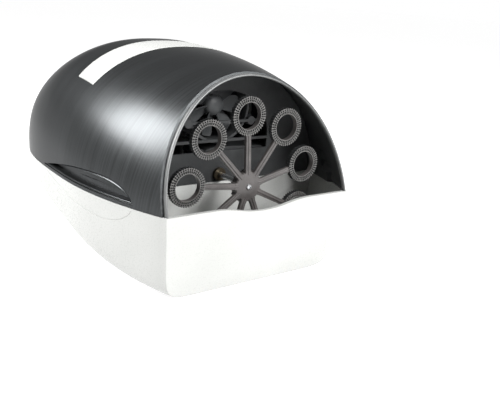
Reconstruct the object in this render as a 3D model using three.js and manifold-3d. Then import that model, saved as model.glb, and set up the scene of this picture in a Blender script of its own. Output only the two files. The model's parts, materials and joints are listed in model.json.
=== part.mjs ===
// Bubble machine: a dark egg-shaped hood on a white tank base, with a nine-wand wheel in the
// open front, a fan behind a barred baffle, a geared wheel drive, a pull-up carry handle flush
// with the crown, and a battery bay underneath.
//
// Units are millimetres and +Z is up. Inside the machine group, x runs to the right of somebody
// looking in through the mouth, y is the distance back from the foremost point of the split
// line, and z is the height above the surface that the feet stand on.
import * as THREE from 'three';
import { mergeVertices } from 'three/addons/utils/BufferGeometryUtils.js';
import { ConvexGeometry } from 'three/addons/geometries/ConvexGeometry.js';
import Module from 'manifold-3d';

const wasm = await Module();
wasm.setup();

// ---------------------------------------------------------------- driving dimensions
const GAP = 0.3;                 // clearance kept between neighbouring pieces
const LENGTH = 265;              // front of the split line to the tail
const SPLIT_Z = 64.5;            // height of the line where hood and base meet
const WALL = 2.4;                // moulded wall of the hood and base

// Along the body a measure grows from its mouth value to its largest, reached at the station
// `at` (a share of the length), and then closes over the tail.
const PLAN = { mouth: 79.7, largest: 104.4, at: 0.427, power: 2.93, root: 3.55 };
const HOOD = {
  crown: { mouth: 87, largest: 98.3, at: 0.573, power: 1.5, root: 2.2 },
  mouthSquareness: 1.97,         // superellipse exponent of the section at the mouth
  tailSquareness: 2.69,
  lean: 0.32,                    // how far the mouth leans back per unit of height
};
const BASE = {
  depth: 62.5,                   // split line down to the flat underside
  keel: { mouth: 62.5, largest: 62.5, at: 0.608, power: 1.72, root: 1.43 },
  mouthSquareness: 12.4,
  tailSquareness: 2.4,
  squarenessFade: 2.94,
  sideDraft: 0.00124,            // narrowing of the section per millimetre of depth
  frontDraft: 0.132,
};
const TRIM = { depth: 3.0, section: 2.8 };
const LIP = { halfWidth: 43, dip: 5 };

const RECESS = { depth: 4.5, front: 27, rear: 151, shoulder: 62, rise: 15.2, lip: 2.7, tipRise: 7 };
const HANDLE = {
  front: 113, rearAtEnds: 140, rearAtCrown: 148, halfSpan: 79.4,
  thickness: 3.6, channel: 4.2, legX: 70, legWidth: 17, legThickness: 3, legBottom: 96.5,
  footWidth: 21, footThickness: 6, footHeight: 5, slotClearance: 0.6, centre: 126.5,
};

const WHEEL = {
  hubZ: 71, midY: 22.5, armCount: 9, pitchRadius: 52.1, firstArm: 174.2,
  ringOuter: 14.1, ringInner: 9.6, ringThickness: 4.4,
  hubRadius: 11.8, hubProud: 1.7, hubThickness: 7, armWidth: 4.3, armThickness: 2.6, ribWidth: 1.4,
};
const SHAFT = { radius: 2, front: 23, rear: 86.4 };

const BULKHEAD = { front: 60, thickness: 2.5 };
const BAFFLE = { front: 61, thickness: 2 };
const FAN = {
  z: 122, bladeTip: 24.6, hub: 8, front: 68.5, depth: 9, blades: 7, pitch: 36,
  shroudInner: 26, shroudOuter: 28, motorRadius: 12, motorFront: 84, motorLength: 28,
};
const WINDOW = { halfWidth: 45, bottom: 88.7, springs: 104, top: 135, bars: [96.8, 110.9], barHeight: 2 };

const GEAR = { module: 0.8, small: 10, large: 40, backlash: 0.3, bore: 1.25, pinRadius: 1 };
const PLANES = { wheel: [69, 73], second: [74, 78], first: [79, 83] };
const CASE = { front: 66, plate: 2, rear: 85, cover: 2, wall: 1.5, clearance: 1.7 };
const MOTOR = { radius: 10.2, front: CASE.rear + CASE.cover + GAP, length: 25, shaft: 1 };

const BATTERY = {
  cellRadius: 13.1, cellLength: 49.4, rowOffset: 13.8, centreY: 136, cellZ: 19.4,
  halfX: 57, halfY: 28.6, wall: 2, top: 33.2,
  doorHalfX: 51, doorHalfY: 26, doorZ: 3.3, doorThickness: 2.1,
};
const FEET = [[-58, 24], [58, 24], [-42, 177], [42, 177]];
const FOOT = { radius: 7, height: 1.7, stem: 1.7, stemHeight: 6, pad: 9 };
const POSTS = [[-81, 98], [81, 98], [-60, 208], [60, 208]];
const POST = { radius: 5.4, counterbore: 3.7, web: 9, hole: 1.9, boss: 4.6, bossHole: 14 };
const SWITCH = {
  station: 0.9, width: 16, length: 24, flange: 1.6, pocket: 2.0, bodyWidth: 12.6, bodyLength: 20,
};

// ---------------------------------------------------------------- solids and booleans
function solid(geometry) {
  const bare = geometry.clone();
  for (const name of Object.keys(bare.attributes)) {
    if (name !== 'position') bare.deleteAttribute(name);
  }
  const merged = mergeVertices(bare, 1e-4);
  const index = Array.from(merged.index.array);
  const faces = [];
  for (let i = 0; i < index.length; i += 3) {
    const [a, b, c] = index.slice(i, i + 3);
    if (a !== b && b !== c && c !== a) faces.push(a, b, c);
  }
  return new wasm.Manifold(new wasm.Mesh({
    numProp: 3,
    vertProperties: Float32Array.from(merged.attributes.position.array),
    triVerts: Uint32Array.from(faces),
  }));
}

function surface(manifold) {
  const mesh = manifold.getMesh();
  const geometry = new THREE.BufferGeometry();
  geometry.setAttribute('position', new THREE.BufferAttribute(mesh.vertProperties, 3));
  geometry.setIndex(new THREE.BufferAttribute(mesh.triVerts, 1));
  geometry.computeVertexNormals();
  return geometry;
}

const union = (...parts) => parts.reduce((sum, part) => sum.add(part));

function box(x0, x1, y0, y1, z0, z1) {
  const geometry = new THREE.BoxGeometry(x1 - x0, y1 - y0, z1 - z0);
  geometry.translate((x0 + x1) / 2, (y0 + y1) / 2, (z0 + z1) / 2);
  return solid(geometry);
}

// A round bar along z.
function barZ(radius, x, y, z0, z1, sides = 12) {
  const geometry = new THREE.CylinderGeometry(radius, radius, z1 - z0, sides);
  geometry.rotateX(Math.PI / 2);
  geometry.translate(x, y, (z0 + z1) / 2);
  return solid(geometry);
}

// A round bar along y.
function barY(radius, x, z, y0, y1, sides = 14) {
  const geometry = new THREE.CylinderGeometry(radius, radius, y1 - y0, sides);
  geometry.translate(x, (y0 + y1) / 2, z);
  return solid(geometry);
}

// A round bar along x.
function barX(radius, y, z, x0, x1, sides = 12) {
  const geometry = new THREE.CylinderGeometry(radius, radius, x1 - x0, sides);
  geometry.rotateZ(Math.PI / 2);
  geometry.translate((x0 + x1) / 2, y, z);
  return solid(geometry);
}

// A shape drawn in x and z, extruded from y0 back to y1.
function plateY(shape, y0, y1) {
  const settings = { depth: y1 - y0, bevelEnabled: false, curveSegments: 10 };
  const geometry = new THREE.ExtrudeGeometry(shape, settings);
  geometry.rotateX(Math.PI / 2);
  geometry.translate(0, y1, 0);
  return solid(geometry);
}

// A solid skinned over a stack of rings with the same number of points, front ring first.
function skin(rings) {
  const count = rings[0].length;
  const positions = [];
  const index = [];
  for (const ring of rings) {
    for (const point of ring) positions.push(point.x, point.y, point.z);
  }
  for (let i = 0; i + 1 < rings.length; i++) {
    for (let j = 0; j < count; j++) {
      const a = i * count + j;
      const b = i * count + ((j + 1) % count);
      index.push(a, b, a + count, b, b + count, a + count);
    }
  }
  for (const [first, flip] of [[0, false], [(rings.length - 1) * count, true]]) {
    for (let j = 1; j + 1 < count; j++) {
      if (flip) index.push(first, first + j, first + j + 1);
      else index.push(first, first + j + 1, first + j);
    }
  }
  const geometry = new THREE.BufferGeometry();
  geometry.setAttribute('position', new THREE.Float32BufferAttribute(positions, 3));
  geometry.setIndex(index);
  const result = solid(geometry);
  if (result.volume() > 0) return result;
  for (let i = 0; i < index.length; i += 3) [index[i + 1], index[i + 2]] = [index[i + 2], index[i + 1]];
  geometry.setIndex(index);
  return solid(geometry);
}

// ---------------------------------------------------------------- the egg-shaped body
// A quantity that grows from the mouth to its largest value, then closes like a superellipse.
function swell(t, { mouth, largest, at, power, root }) {
  if (t < at) return largest - (largest - mouth) * ((at - t) / at) ** 2;
  const s = (t - at) / (1 - at);
  return largest * Math.max(0, 1 - s ** power) ** (1 / root);
}
const halfWidth = (t) => swell(t, PLAN);
const crown = (t) => swell(t, HOOD.crown);
const keel = (t) => swell(t, BASE.keel);
const signedPower = (value, power) => Math.sign(value) * Math.abs(value) ** power;

// A point of the hood's surface, or of the surface that lies `inset` inside it.
function hoodPoint(t, angle, inset = 0) {
  const n = HOOD.mouthSquareness + (HOOD.tailSquareness - HOOD.mouthSquareness) * t;
  const x = Math.max(halfWidth(t) - inset, 0.5) * signedPower(Math.cos(angle), 2 / n);
  const up = Math.max(crown(t) - inset, 0.5) * Math.max(Math.sin(angle), 0) ** (2 / n);
  const y = t * (LENGTH - inset) + HOOD.lean * up * (1 - t);
  return new THREE.Vector3(x, y, SPLIT_Z + GAP + up);
}

function baseSquareness(t) {
  const fade = (1 - t) ** BASE.squarenessFade;
  return BASE.tailSquareness + (BASE.mouthSquareness - BASE.tailSquareness) * fade;
}

function basePoint(t, angle, inset = 0) {
  const n = baseSquareness(t);
  const down = Math.max(keel(t) - inset, 0.5) * Math.max(Math.sin(angle), 0) ** (2 / n);
  const reach = Math.max(halfWidth(t) - inset, 0.5) * (1 - BASE.sideDraft * down);
  const x = reach * signedPower(Math.cos(angle), 2 / n);
  const y = inset + t * (LENGTH - 2 * inset) + BASE.frontDraft * down * (1 - t);
  return new THREE.Vector3(x, y, SPLIT_Z - down);
}

const STATIONS = 14;
function stations() {
  const list = [];
  for (let i = 0; i < STATIONS; i++) list.push(1 - (1 - i / STATIONS) ** 2);
  return [...list, 0.999, 0.99995];
}

// Points round half a section. The two ends are carried past the split line by `past`.
function halfRing(point, segments, past) {
  const ring = [];
  for (let j = 0; j <= segments; j++) ring.push(point((Math.PI * j) / segments));
  if (past) {
    const first = ring[0].clone();
    const last = ring[segments].clone();
    first.z += past;
    last.z += past;
    return [first, ...ring, last];
  }
  return ring;
}

// The hood's solid form. `ahead` carries the mouth forward, and `past` the foot down.
function hoodForm(inset = 0, ahead = 0, past = 0, segments = 20) {
  const rings = stations().map((t) => halfRing((angle) => hoodPoint(t, angle, inset), segments, past));
  if (ahead) rings.unshift(rings[0].map((p) => new THREE.Vector3(p.x, p.y - ahead, p.z)));
  return skin(rings);
}

function baseForm(inset = 0, past = 0, segments = 20) {
  return skin(stations().map((t) => halfRing((angle) => basePoint(t, angle, inset), segments, past)));
}

// Half-leaf outline of the finger recess, seen from the side: y along, z up. Its blunt end is at
// the front, its lower edge leaves a lip above the split, and `grow` widens it all round for the
// wall behind the recess.
function leafPrism(side, grow) {
  const front = RECESS.front - grow;
  const rear = RECESS.rear + grow;
  const top = SPLIT_Z + RECESS.rise + grow;
  const bottom = SPLIT_Z + RECESS.lip - grow;
  const leaf = new THREE.Shape();
  leaf.moveTo(front, bottom);
  const { shoulder, tipRise } = RECESS;
  leaf.bezierCurveTo(front + 3, bottom + tipRise, front + 16, top, shoulder, top);
  leaf.bezierCurveTo(shoulder + 34, top, rear - 34, bottom + tipRise, rear, bottom);
  leaf.closePath();
  const geometry = new THREE.ExtrudeGeometry(leaf, { depth: 60, bevelEnabled: false, curveSegments: 5 });
  geometry.applyMatrix4(new THREE.Matrix4().set(0, 0, 1, 60, 1, 0, 0, 0, 0, 1, 0, 0, 0, 0, 0, 1));
  const prism = solid(geometry);
  return side > 0 ? prism : prism.mirror([1, 0, 0]);
}

// Upright prism over the plan outline of the carry handle.
function handlePrism(grow) {
  const half = HANDLE.halfSpan + grow;
  const outline = new THREE.Shape();
  outline.moveTo(-half, HANDLE.front - grow);
  outline.lineTo(half, HANDLE.front - grow);
  outline.lineTo(half, HANDLE.rearAtEnds + grow);
  const middle = 2 * HANDLE.rearAtCrown - HANDLE.rearAtEnds + grow;
  outline.quadraticCurveTo(0, middle, -half, HANDLE.rearAtEnds + grow);
  const settings = { depth: 130, bevelEnabled: false, curveSegments: 10 };
  const geometry = new THREE.ExtrudeGeometry(outline, settings);
  geometry.translate(0, 0, SPLIT_Z + 10);
  return solid(geometry);
}

// ---------------------------------------------------------------- the switch seat
// The power switch sits on the tail of the hood, square to the surface there.
const switchSeat = (() => {
  const here = hoodPoint(SWITCH.station, Math.PI / 2);
  const ahead = hoodPoint(SWITCH.station - 0.01, Math.PI / 2);
  const behind = hoodPoint(SWITCH.station + 0.01, Math.PI / 2);
  const slope = behind.clone().sub(ahead).normalize();
  return { at: here, tilt: Math.atan2(slope.z, slope.y) };
})();

// A box given in the switch's own axes: x across, y down the slope, z out of the surface.
function seatBox(x0, x1, y0, y1, z0, z1) {
  const geometry = new THREE.BoxGeometry(x1 - x0, y1 - y0, z1 - z0);
  geometry.translate((x0 + x1) / 2, (y0 + y1) / 2, (z0 + z1) / 2);
  geometry.rotateX(switchSeat.tilt);
  geometry.translate(switchSeat.at.x, switchSeat.at.y, switchSeat.at.z);
  return solid(geometry);
}

// ---------------------------------------------------------------- hood, trim and handle
function mouthSlab(inset, from, to) {
  const front = halfRing((angle) => hoodPoint(0, angle, inset), 20, inset > 0 ? -5 : 0);
  const shift = (dy) => front.map((p) => new THREE.Vector3(p.x, p.y + dy, p.z));
  return skin([shift(from), shift(to)]);
}

function hoodShell() {
  const outer = hoodForm();
  const thin = (inset) => hoodForm(inset, 8, -6);
  let cavity = thin(WALL);
  const recessBack = thin(RECESS.depth + WALL);
  for (const side of [-1, 1]) cavity = cavity.subtract(leafPrism(side, WALL).subtract(recessBack));
  cavity = cavity.subtract(handlePrism(WALL).subtract(thin(HANDLE.channel + WALL)));
  const seatX = SWITCH.width / 2 + 3;
  const seatY = SWITCH.length / 2 + 3;
  cavity = cavity.subtract(seatBox(-seatX, seatX, -seatY, seatY, -SWITCH.pocket - WALL, 10));
  let shell = outer.subtract(cavity);

  const recessFloor = thin(RECESS.depth);
  for (const side of [-1, 1]) shell = shell.subtract(leafPrism(side, 0).subtract(recessFloor));
  shell = shell.subtract(handlePrism(GAP).subtract(thin(HANDLE.channel)));
  shell = shell.subtract(mouthSlab(-2, -1, TRIM.depth + GAP));

  for (const side of [-1, 1]) shell = shell.subtract(handleLeg(side, HANDLE.slotClearance));

  const pocketX = SWITCH.width / 2 + GAP;
  const pocketY = SWITCH.length / 2 + GAP;
  shell = shell.subtract(seatBox(-pocketX, pocketX, -pocketY, pocketY, -SWITCH.pocket, 12));
  const throughX = SWITCH.bodyWidth / 2 + GAP;
  const throughY = SWITCH.bodyLength / 2 + GAP;
  shell = shell.subtract(seatBox(-throughX, throughX, -throughY, throughY, -12, 2));

  for (const [x, y] of POSTS) {
    const boss = barZ(POST.boss, x, y, SPLIT_Z + GAP, SPLIT_Z + 110).intersect(hoodForm(WALL / 2));
    shell = shell.add(boss);
    shell = shell.subtract(barZ(POST.hole, x, y, SPLIT_Z - 1, SPLIT_Z + POST.bossHole, 12));
  }
  return shell;
}

function rimTrim() {
  return mouthSlab(0, 0, TRIM.depth).subtract(mouthSlab(TRIM.section, -3, TRIM.depth + 3));
}

function handleLeg(side, grow) {
  const x = side * HANDLE.legX;
  const y = HANDLE.centre;
  const halfX = HANDLE.legThickness / 2 + grow;
  const halfY = HANDLE.legWidth / 2 + grow;
  return box(x - halfX, x + halfX, y - halfY, y + halfY, HANDLE.legBottom, SPLIT_Z + 77);
}

function carryHandle() {
  let handle = handlePrism(0).intersect(hoodForm().subtract(hoodForm(HANDLE.thickness)));
  const underside = hoodForm(HANDLE.thickness / 2);
  for (const side of [-1, 1]) {
    const x = side * HANDLE.legX;
    const halfX = HANDLE.footThickness / 2;
    const halfY = HANDLE.footWidth / 2;
    const top = HANDLE.legBottom + HANDLE.footHeight;
    handle = handle.add(handleLeg(side, 0).intersect(underside));
    handle = handle.add(
      box(x - halfX, x + halfX, HANDLE.centre - halfY, HANDLE.centre + halfY, HANDLE.legBottom, top),
    );
  }
  return handle;
}

// ---------------------------------------------------------------- base with its tank
// The shallow dip in the front wall, as a prism that runs through the wall.
function lipDip() {
  const dip = new THREE.Shape();
  dip.moveTo(-LIP.halfWidth, SPLIT_Z + 1);
  dip.lineTo(-LIP.halfWidth, SPLIT_Z);
  const ease = LIP.halfWidth * 0.45;
  dip.bezierCurveTo(-LIP.halfWidth + ease, SPLIT_Z, -ease, SPLIT_Z - LIP.dip, 0, SPLIT_Z - LIP.dip);
  dip.bezierCurveTo(ease, SPLIT_Z - LIP.dip, LIP.halfWidth - ease, SPLIT_Z, LIP.halfWidth, SPLIT_Z);
  dip.lineTo(LIP.halfWidth, SPLIT_Z + 1);
  return plateY(dip, -2, 12);
}

// Height of the underside of the base at a place in plan.
function undersideAt(x, y) {
  const down = BASE.depth * 0.97;
  const t = (y - BASE.frontDraft * down * (1 - y / LENGTH)) / LENGTH;
  const n = baseSquareness(t);
  const share = Math.abs(x) / (halfWidth(t) * (1 - BASE.sideDraft * down));
  return SPLIT_Z - keel(t) * (1 - share ** n) ** (1 / n);
}

function baseShell() {
  const outer = baseForm();
  let cavity = baseForm(WALL, 5);
  const wallRear = BULKHEAD.front + BULKHEAD.thickness;
  cavity = cavity.subtract(box(-110, 110, BULKHEAD.front, wallRear, -1, SPLIT_Z));
  let shell = outer.subtract(cavity);
  shell = shell.subtract(lipDip());

  for (const [x, y] of POSTS) {
    const post = barZ(POST.radius, x, y, 0, SPLIT_Z).intersect(baseForm(WALL / 2));
    shell = shell.add(post);
    shell = shell.subtract(barZ(POST.counterbore, x, y, -1, SPLIT_Z - POST.web, 16));
    shell = shell.subtract(barZ(POST.hole, x, y, 0, SPLIT_Z + 1, 12));
  }
  for (const [x, y] of FEET) {
    shell = shell.add(barZ(FOOT.pad, x, y, SPLIT_Z - BASE.depth, undersideAt(x, y) + WALL + 1));
    shell = shell.subtract(barZ(FOOT.stem + GAP, x, y, 0, FOOT.stemHeight + 0.6, 12));
  }
  const doorX = BATTERY.doorHalfX + 0.5;
  const doorY = BATTERY.doorHalfY + 0.5;
  shell = shell.subtract(
    box(-doorX, doorX, BATTERY.centreY - doorY, BATTERY.centreY + doorY + 1.2, -1, BATTERY.doorZ + 6),
  );
  const slotCount = 7;
  for (let i = 0; i < slotCount; i++) {
    const x = (i - (slotCount - 1) / 2) * 9;
    shell = shell.subtract(box(x - 1.6, x + 1.6, 190, 214, -1, 24));
  }
  return shell;
}

// ---------------------------------------------------------------- the wand wheel
function wandWheel() {
  const { midY, hubZ, pitchRadius, armCount } = WHEEL;
  const half = WHEEL.ringThickness / 2;
  const hubFront = midY - WHEEL.hubProud;
  let wheel = barY(WHEEL.hubRadius, 0, 0, hubFront, hubFront + WHEEL.hubThickness, 27);
  for (let i = 0; i < armCount; i++) {
    const angle = THREE.MathUtils.degToRad(WHEEL.firstArm + (360 / armCount) * i);
    const ring = barY(WHEEL.ringOuter, pitchRadius, 0, midY - half, midY + half, 16);
    const hole = barY(WHEEL.ringInner, pitchRadius, 0, midY - 9, midY + 9, 16);
    const armEnd = pitchRadius - (WHEEL.ringOuter + WHEEL.ringInner) / 2;
    const armHalf = WHEEL.armThickness / 2;
    const arm = box(8, armEnd, midY - armHalf, midY + armHalf, -WHEEL.armWidth / 2, WHEEL.armWidth / 2);
    const rib = box(8, armEnd, midY - half + 0.4, midY, -WHEEL.ribWidth / 2, WHEEL.ribWidth / 2);
    const spoke = union(ring.subtract(hole), arm, rib);
    wheel = wheel.add(spoke.rotate([0, -THREE.MathUtils.radToDeg(angle), 0]));
  }
  wheel = wheel.translate([0, 0, hubZ]);
  const bore = barY(SHAFT.radius + GAP, 0, hubZ, SHAFT.front - GAP, hubFront + 20, 16);
  const screwHole = barY(1.3, 0, hubZ, hubFront - 2, SHAFT.front + 1, 12);
  return wheel.subtract(bore).subtract(screwHole);
}

function hubScrew() {
  const front = WHEEL.midY - WHEEL.hubProud;
  const head = barY(2.8, 0, WHEEL.hubZ, front - 1.9, front - GAP, 16);
  return head.add(barY(1, 0, WHEEL.hubZ, front - 1, SHAFT.front - GAP, 12));
}

// ---------------------------------------------------------------- gears
const involute = (angle) => Math.tan(angle) - angle;

// Outline of a spur gear in its own plane, with one tooth centred on `phase` radians.
function gearShape(teeth, addendum, flankPoints, phase) {
  const pitch = (GEAR.module * teeth) / 2;
  const pressure = THREE.MathUtils.degToRad(20);
  const baseRadius = pitch * Math.cos(pressure);
  const root = pitch - 1.15 * GEAR.module;
  const tip = pitch + addendum;
  const halfTooth = Math.PI / (2 * teeth) - GEAR.backlash / (4 * pitch);
  const halfAt = (radius) => {
    const held = Math.max(radius, baseRadius);
    return halfTooth + involute(pressure) - involute(Math.acos(Math.min(1, baseRadius / held)));
  };
  const points = [];
  for (let i = 0; i < teeth; i++) {
    const centre = phase + (2 * Math.PI * i) / teeth;
    const flank = [];
    for (let k = 0; k < flankPoints; k++) {
      const radius = root + ((tip - root) * k) / (flankPoints - 1);
      flank.push([radius, halfAt(radius)]);
    }
    for (const [radius, half] of flank) points.push([radius, centre - half]);
    for (const [radius, half] of flank.reverse()) points.push([radius, centre + half]);
  }
  return new THREE.Shape(points.map(([r, a]) => new THREE.Vector2(r * Math.cos(a), r * Math.sin(a))));
}

const smallGear = (phase) => gearShape(GEAR.small, GEAR.module * 0.95, 3, phase);
const largeGear = (phase) => gearShape(GEAR.large, GEAR.module * 0.6, 2, phase);

// Gear axes in x and z: the wheel's, then the two compound gears', then the motor's.
const CENTRES = (() => {
  const reach = (GEAR.module * (GEAR.small + GEAR.large)) / 2;
  const step = ([x, z], degrees) => {
    const angle = THREE.MathUtils.degToRad(degrees);
    return [x + reach * Math.cos(angle), z + reach * Math.sin(angle)];
  };
  const wheel = [0, WHEEL.hubZ];
  const second = step(wheel, -25);
  const first = step(second, 0);
  const motor = step(first, 60);
  return { wheel, second, first, motor };
})();

// The phase that puts a gear in mesh with its neighbour.
function meshPhase(from, fromTeeth, fromPhase, to, toTeeth) {
  const angle = Math.atan2(to[1] - from[1], to[0] - from[0]);
  const turns = ((angle - fromPhase) * fromTeeth) / (2 * Math.PI);
  const share = turns - Math.floor(turns);
  return angle + Math.PI + ((share + 0.5) * 2 * Math.PI) / toTeeth;
}

const PHASES = (() => {
  const wheel = 0;
  const second = meshPhase(CENTRES.wheel, GEAR.large, wheel, CENTRES.second, GEAR.small);
  const first = meshPhase(CENTRES.second, GEAR.large, second, CENTRES.first, GEAR.small);
  const motor = meshPhase(CENTRES.first, GEAR.large, first, CENTRES.motor, GEAR.small);
  return { wheel, second, first, motor };
})();

function bored(gear, radius, y0, y1) {
  return gear.subtract(barY(radius, 0, 0, y0 - 1, y1 + 1, 14));
}

function compoundGear(phase, smallPlane, largePlane) {
  const pinion = plateY(smallGear(phase), smallPlane[0], largePlane[0] + 0.2);
  const wheel = plateY(largeGear(phase), largePlane[0], largePlane[1]);
  return bored(pinion.add(wheel), GEAR.bore, smallPlane[0], largePlane[1]);
}

function wheelGear() {
  const [front, rear] = PLANES.wheel;
  const collar = barY(3.2, 0, 0, rear - 0.2, PLANES.second[1], 14);
  const gear = plateY(largeGear(PHASES.wheel), front, rear).add(collar);
  return bored(gear, SHAFT.radius + GAP, front, PLANES.second[1]);
}

function motorPinion() {
  const [front, rear] = PLANES.first;
  return bored(plateY(smallGear(PHASES.motor), front, rear), MOTOR.shaft + GAP, front, rear);
}

// Rounded outline that clears every gear by the same margin, as a solid between two planes.
function caseForm(margin, y0, y1) {
  const tipRadius = (GEAR.module * GEAR.large) / 2 + GEAR.module;
  const circles = [
    [...CENTRES.wheel, tipRadius], [...CENTRES.second, tipRadius],
    [...CENTRES.first, tipRadius], [...CENTRES.motor, tipRadius / 3],
  ];
  const points = [];
  for (const [x, z, radius] of circles) {
    for (let k = 0; k < 16; k++) {
      const angle = (2 * Math.PI * k) / 16;
      const px = x + (radius + margin) * Math.cos(angle);
      const pz = z + (radius + margin) * Math.sin(angle);
      points.push(new THREE.Vector3(px, y0, pz), new THREE.Vector3(px, y1, pz));
    }
  }
  return solid(new ConvexGeometry(points));
}

const CASE_SCREWS = [[-13.5, 86.7], [24, 84.5], [30, 42.1]];

function gearboxFront() {
  const margin = CASE.clearance + CASE.wall;
  const floor = CASE.front + CASE.plate;
  let cup = caseForm(margin, CASE.front, CASE.rear - GAP);
  cup = cup.subtract(caseForm(CASE.clearance, floor, CASE.rear + 2));
  for (const [x, z] of CASE_SCREWS) cup = cup.add(barY(3.2, x, z, CASE.front, CASE.rear - GAP, 14));
  for (const [x, z] of CASE_SCREWS) cup = cup.subtract(barY(1.3, x, z, CASE.rear - 12, CASE.rear + 1, 10));
  cup = cup.subtract(barY(SHAFT.radius + 0.15, ...CENTRES.wheel, CASE.front - 1, floor + 1, 20));
  for (const centre of [CENTRES.second, CENTRES.first]) {
    cup = cup.subtract(barY(GEAR.pinRadius + 0.15, ...centre, CASE.front - 1, floor + 1, 14));
  }
  return cup;
}

function gearboxRear() {
  let cover = caseForm(CASE.clearance + CASE.wall, CASE.rear, CASE.rear + CASE.cover);
  const back = CASE.rear + CASE.cover;
  for (const [x, z] of CASE_SCREWS) cover = cover.add(barY(3.2, x, z, CASE.rear, back, 14));
  for (const [x, z] of CASE_SCREWS) cover = cover.subtract(barY(1.6, x, z, CASE.rear - 1, back + 2, 10));
  cover = cover.subtract(barY(SHAFT.radius + 0.15, ...CENTRES.wheel, CASE.rear - 1, CASE.rear + 4, 20));
  for (const centre of [CENTRES.second, CENTRES.first]) {
    cover = cover.subtract(barY(GEAR.pinRadius + 0.15, ...centre, CASE.rear - 1, CASE.rear + 4, 14));
  }
  return cover.subtract(barY(3.6, ...CENTRES.motor, CASE.rear - 1, CASE.rear + 4, 16));
}

// A pan-head screw along y whose head faces back.
function screwBack(x, z, seatY, shank, length, head) {
  const cap = barY(head, x, z, seatY + GAP, seatY + GAP + head * 0.62, 14);
  return cap.add(barY(shank, x, z, seatY - length, seatY + 1, 10));
}

// A can motor along y with a flat-sided body, a front boss and two terminals behind.
function canMotor(radius, front, length, boss) {
  const flats = box(-radius, radius, front - 1, front + length + 1, -radius * 0.8, radius * 0.8);
  let body = barY(radius, 0, 0, front, front + length, 24).intersect(flats);
  body = body.add(barY(3, 0, 0, front - boss, front + 1, 16));
  for (const side of [-1, 1]) {
    const x = side * radius * 0.55;
    body = body.add(box(x - 0.4, x + 0.4, front + length - 1, front + length + 4, -1.4, 1.4));
  }
  return body.subtract(barY(1.4, 0, 0, front - boss - 1, front + length * 0.8, 12));
}

// ---------------------------------------------------------------- baffle and fan
// The arched opening in front of the fan.
function windowArch() {
  const { halfWidth: half, bottom, springs, top } = WINDOW;
  const shape = new THREE.Shape();
  shape.moveTo(-half, bottom);
  shape.lineTo(half, bottom);
  shape.lineTo(half, springs);
  shape.bezierCurveTo(half - 4, springs + 20, half * 0.5, top, 0, top);
  shape.bezierCurveTo(-half * 0.5, top, 4 - half, springs + 20, -half, springs);
  shape.closePath();
  return shape;
}

// Fixing ears of the fan, in x and z: two on the plate above the opening, two on the upper bar.
const FAN_EARS = [[24.6, 139.9], [-24.6, 139.9], [-28.3, WINDOW.bars[1]], [28.3, WINDOW.bars[1]]];

function fanBaffle() {
  const rear = BAFFLE.front + BAFFLE.thickness;
  const slab = box(-110, 110, BAFFLE.front, rear, SPLIT_Z + GAP, SPLIT_Z + 110);
  const clear = WALL + 2 * GAP;
  let plate = hoodForm(clear).intersect(slab);
  const recessBack = hoodForm(RECESS.depth + clear, 0, -6);
  for (const side of [-1, 1]) plate = plate.subtract(leafPrism(side, clear).subtract(recessBack));
  plate = plate.subtract(plateY(windowArch(), BAFFLE.front - 1, rear + 1));
  const reach = WINDOW.halfWidth + 2;
  const half = WINDOW.barHeight / 2;
  for (const z of WINDOW.bars) {
    plate = plate.add(box(-reach, reach, BAFFLE.front, rear, z - half, z + half));
  }
  for (const [x, z] of FAN_EARS) {
    plate = plate.add(barY(3.4, x, z, BAFFLE.front, rear + 1.2, 14));
    plate = plate.subtract(barY(1.2, x, z, BAFFLE.front + 0.8, rear + 3, 10));
  }
  return plate.subtract(barY(4.3, 0, WHEEL.hubZ, BAFFLE.front - 1, rear + 1, 24));
}

function wheelBush() {
  const rear = BAFFLE.front + BAFFLE.thickness;
  const sleeve = barY(4, 0, WHEEL.hubZ, BAFFLE.front - 3, rear + 2, 24);
  const flange = barY(5.1, 0, WHEEL.hubZ, BAFFLE.front - 3, BAFFLE.front - GAP, 24);
  return sleeve.add(flange).subtract(barY(SHAFT.radius + 0.15, 0, WHEEL.hubZ, 50, 80, 20));
}

function fanShroud() {
  const front = BAFFLE.front + BAFFLE.thickness + 1.2 + GAP;
  const rear = FAN.motorFront + 4;
  const tube = barY(FAN.shroudOuter, 0, 0, front, rear, 30);
  let shroud = tube.subtract(barY(FAN.shroudInner, 0, 0, front - 1, rear + 1, 30));
  const cup = barY(FAN.motorRadius + 2.3, 0, 0, rear - 5, rear, 20);
  for (let i = 0; i < 3; i++) {
    const arm = box(0, FAN.shroudInner + 1, rear - 3, rear, -1.8, 1.8);
    shroud = shroud.add(arm.rotate([0, 30 + 120 * i, 0]));
  }
  shroud = shroud.add(cup).subtract(barY(FAN.motorRadius + 2 * GAP, 0, 0, rear - 9, rear + 1, 20));
  shroud = shroud.translate([0, 0, FAN.z]);
  for (const [x, z] of FAN_EARS) {
    shroud = shroud.add(barY(3.6, x, z, front, front + 2.4, 14));
  }
  for (const [x, z] of FAN_EARS) {
    shroud = shroud.subtract(barY(1.6, x, z, front - 1, front + 4, 10));
  }
  return shroud.subtract(barY(FAN.shroudInner, 0, FAN.z, front - 1, rear - 8, 30));
}

function fanImpeller() {
  let impeller = barY(FAN.hub, 0, 0, FAN.front, FAN.front + FAN.depth, 24);
  for (let i = 0; i < FAN.blades; i++) {
    const blade = box(FAN.hub - 2, FAN.bladeTip, -6.2, 6.2, -0.7, 0.7);
    const pitched = blade.rotate([FAN.pitch, 0, 0]).translate([0, FAN.front + FAN.depth / 2, 0]);
    impeller = impeller.add(pitched.rotate([0, (360 / FAN.blades) * i, 0]));
  }
  return impeller.subtract(barY(1.3, 0, 0, FAN.front + 2, FAN.front + FAN.depth + 3, 12));
}

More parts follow.
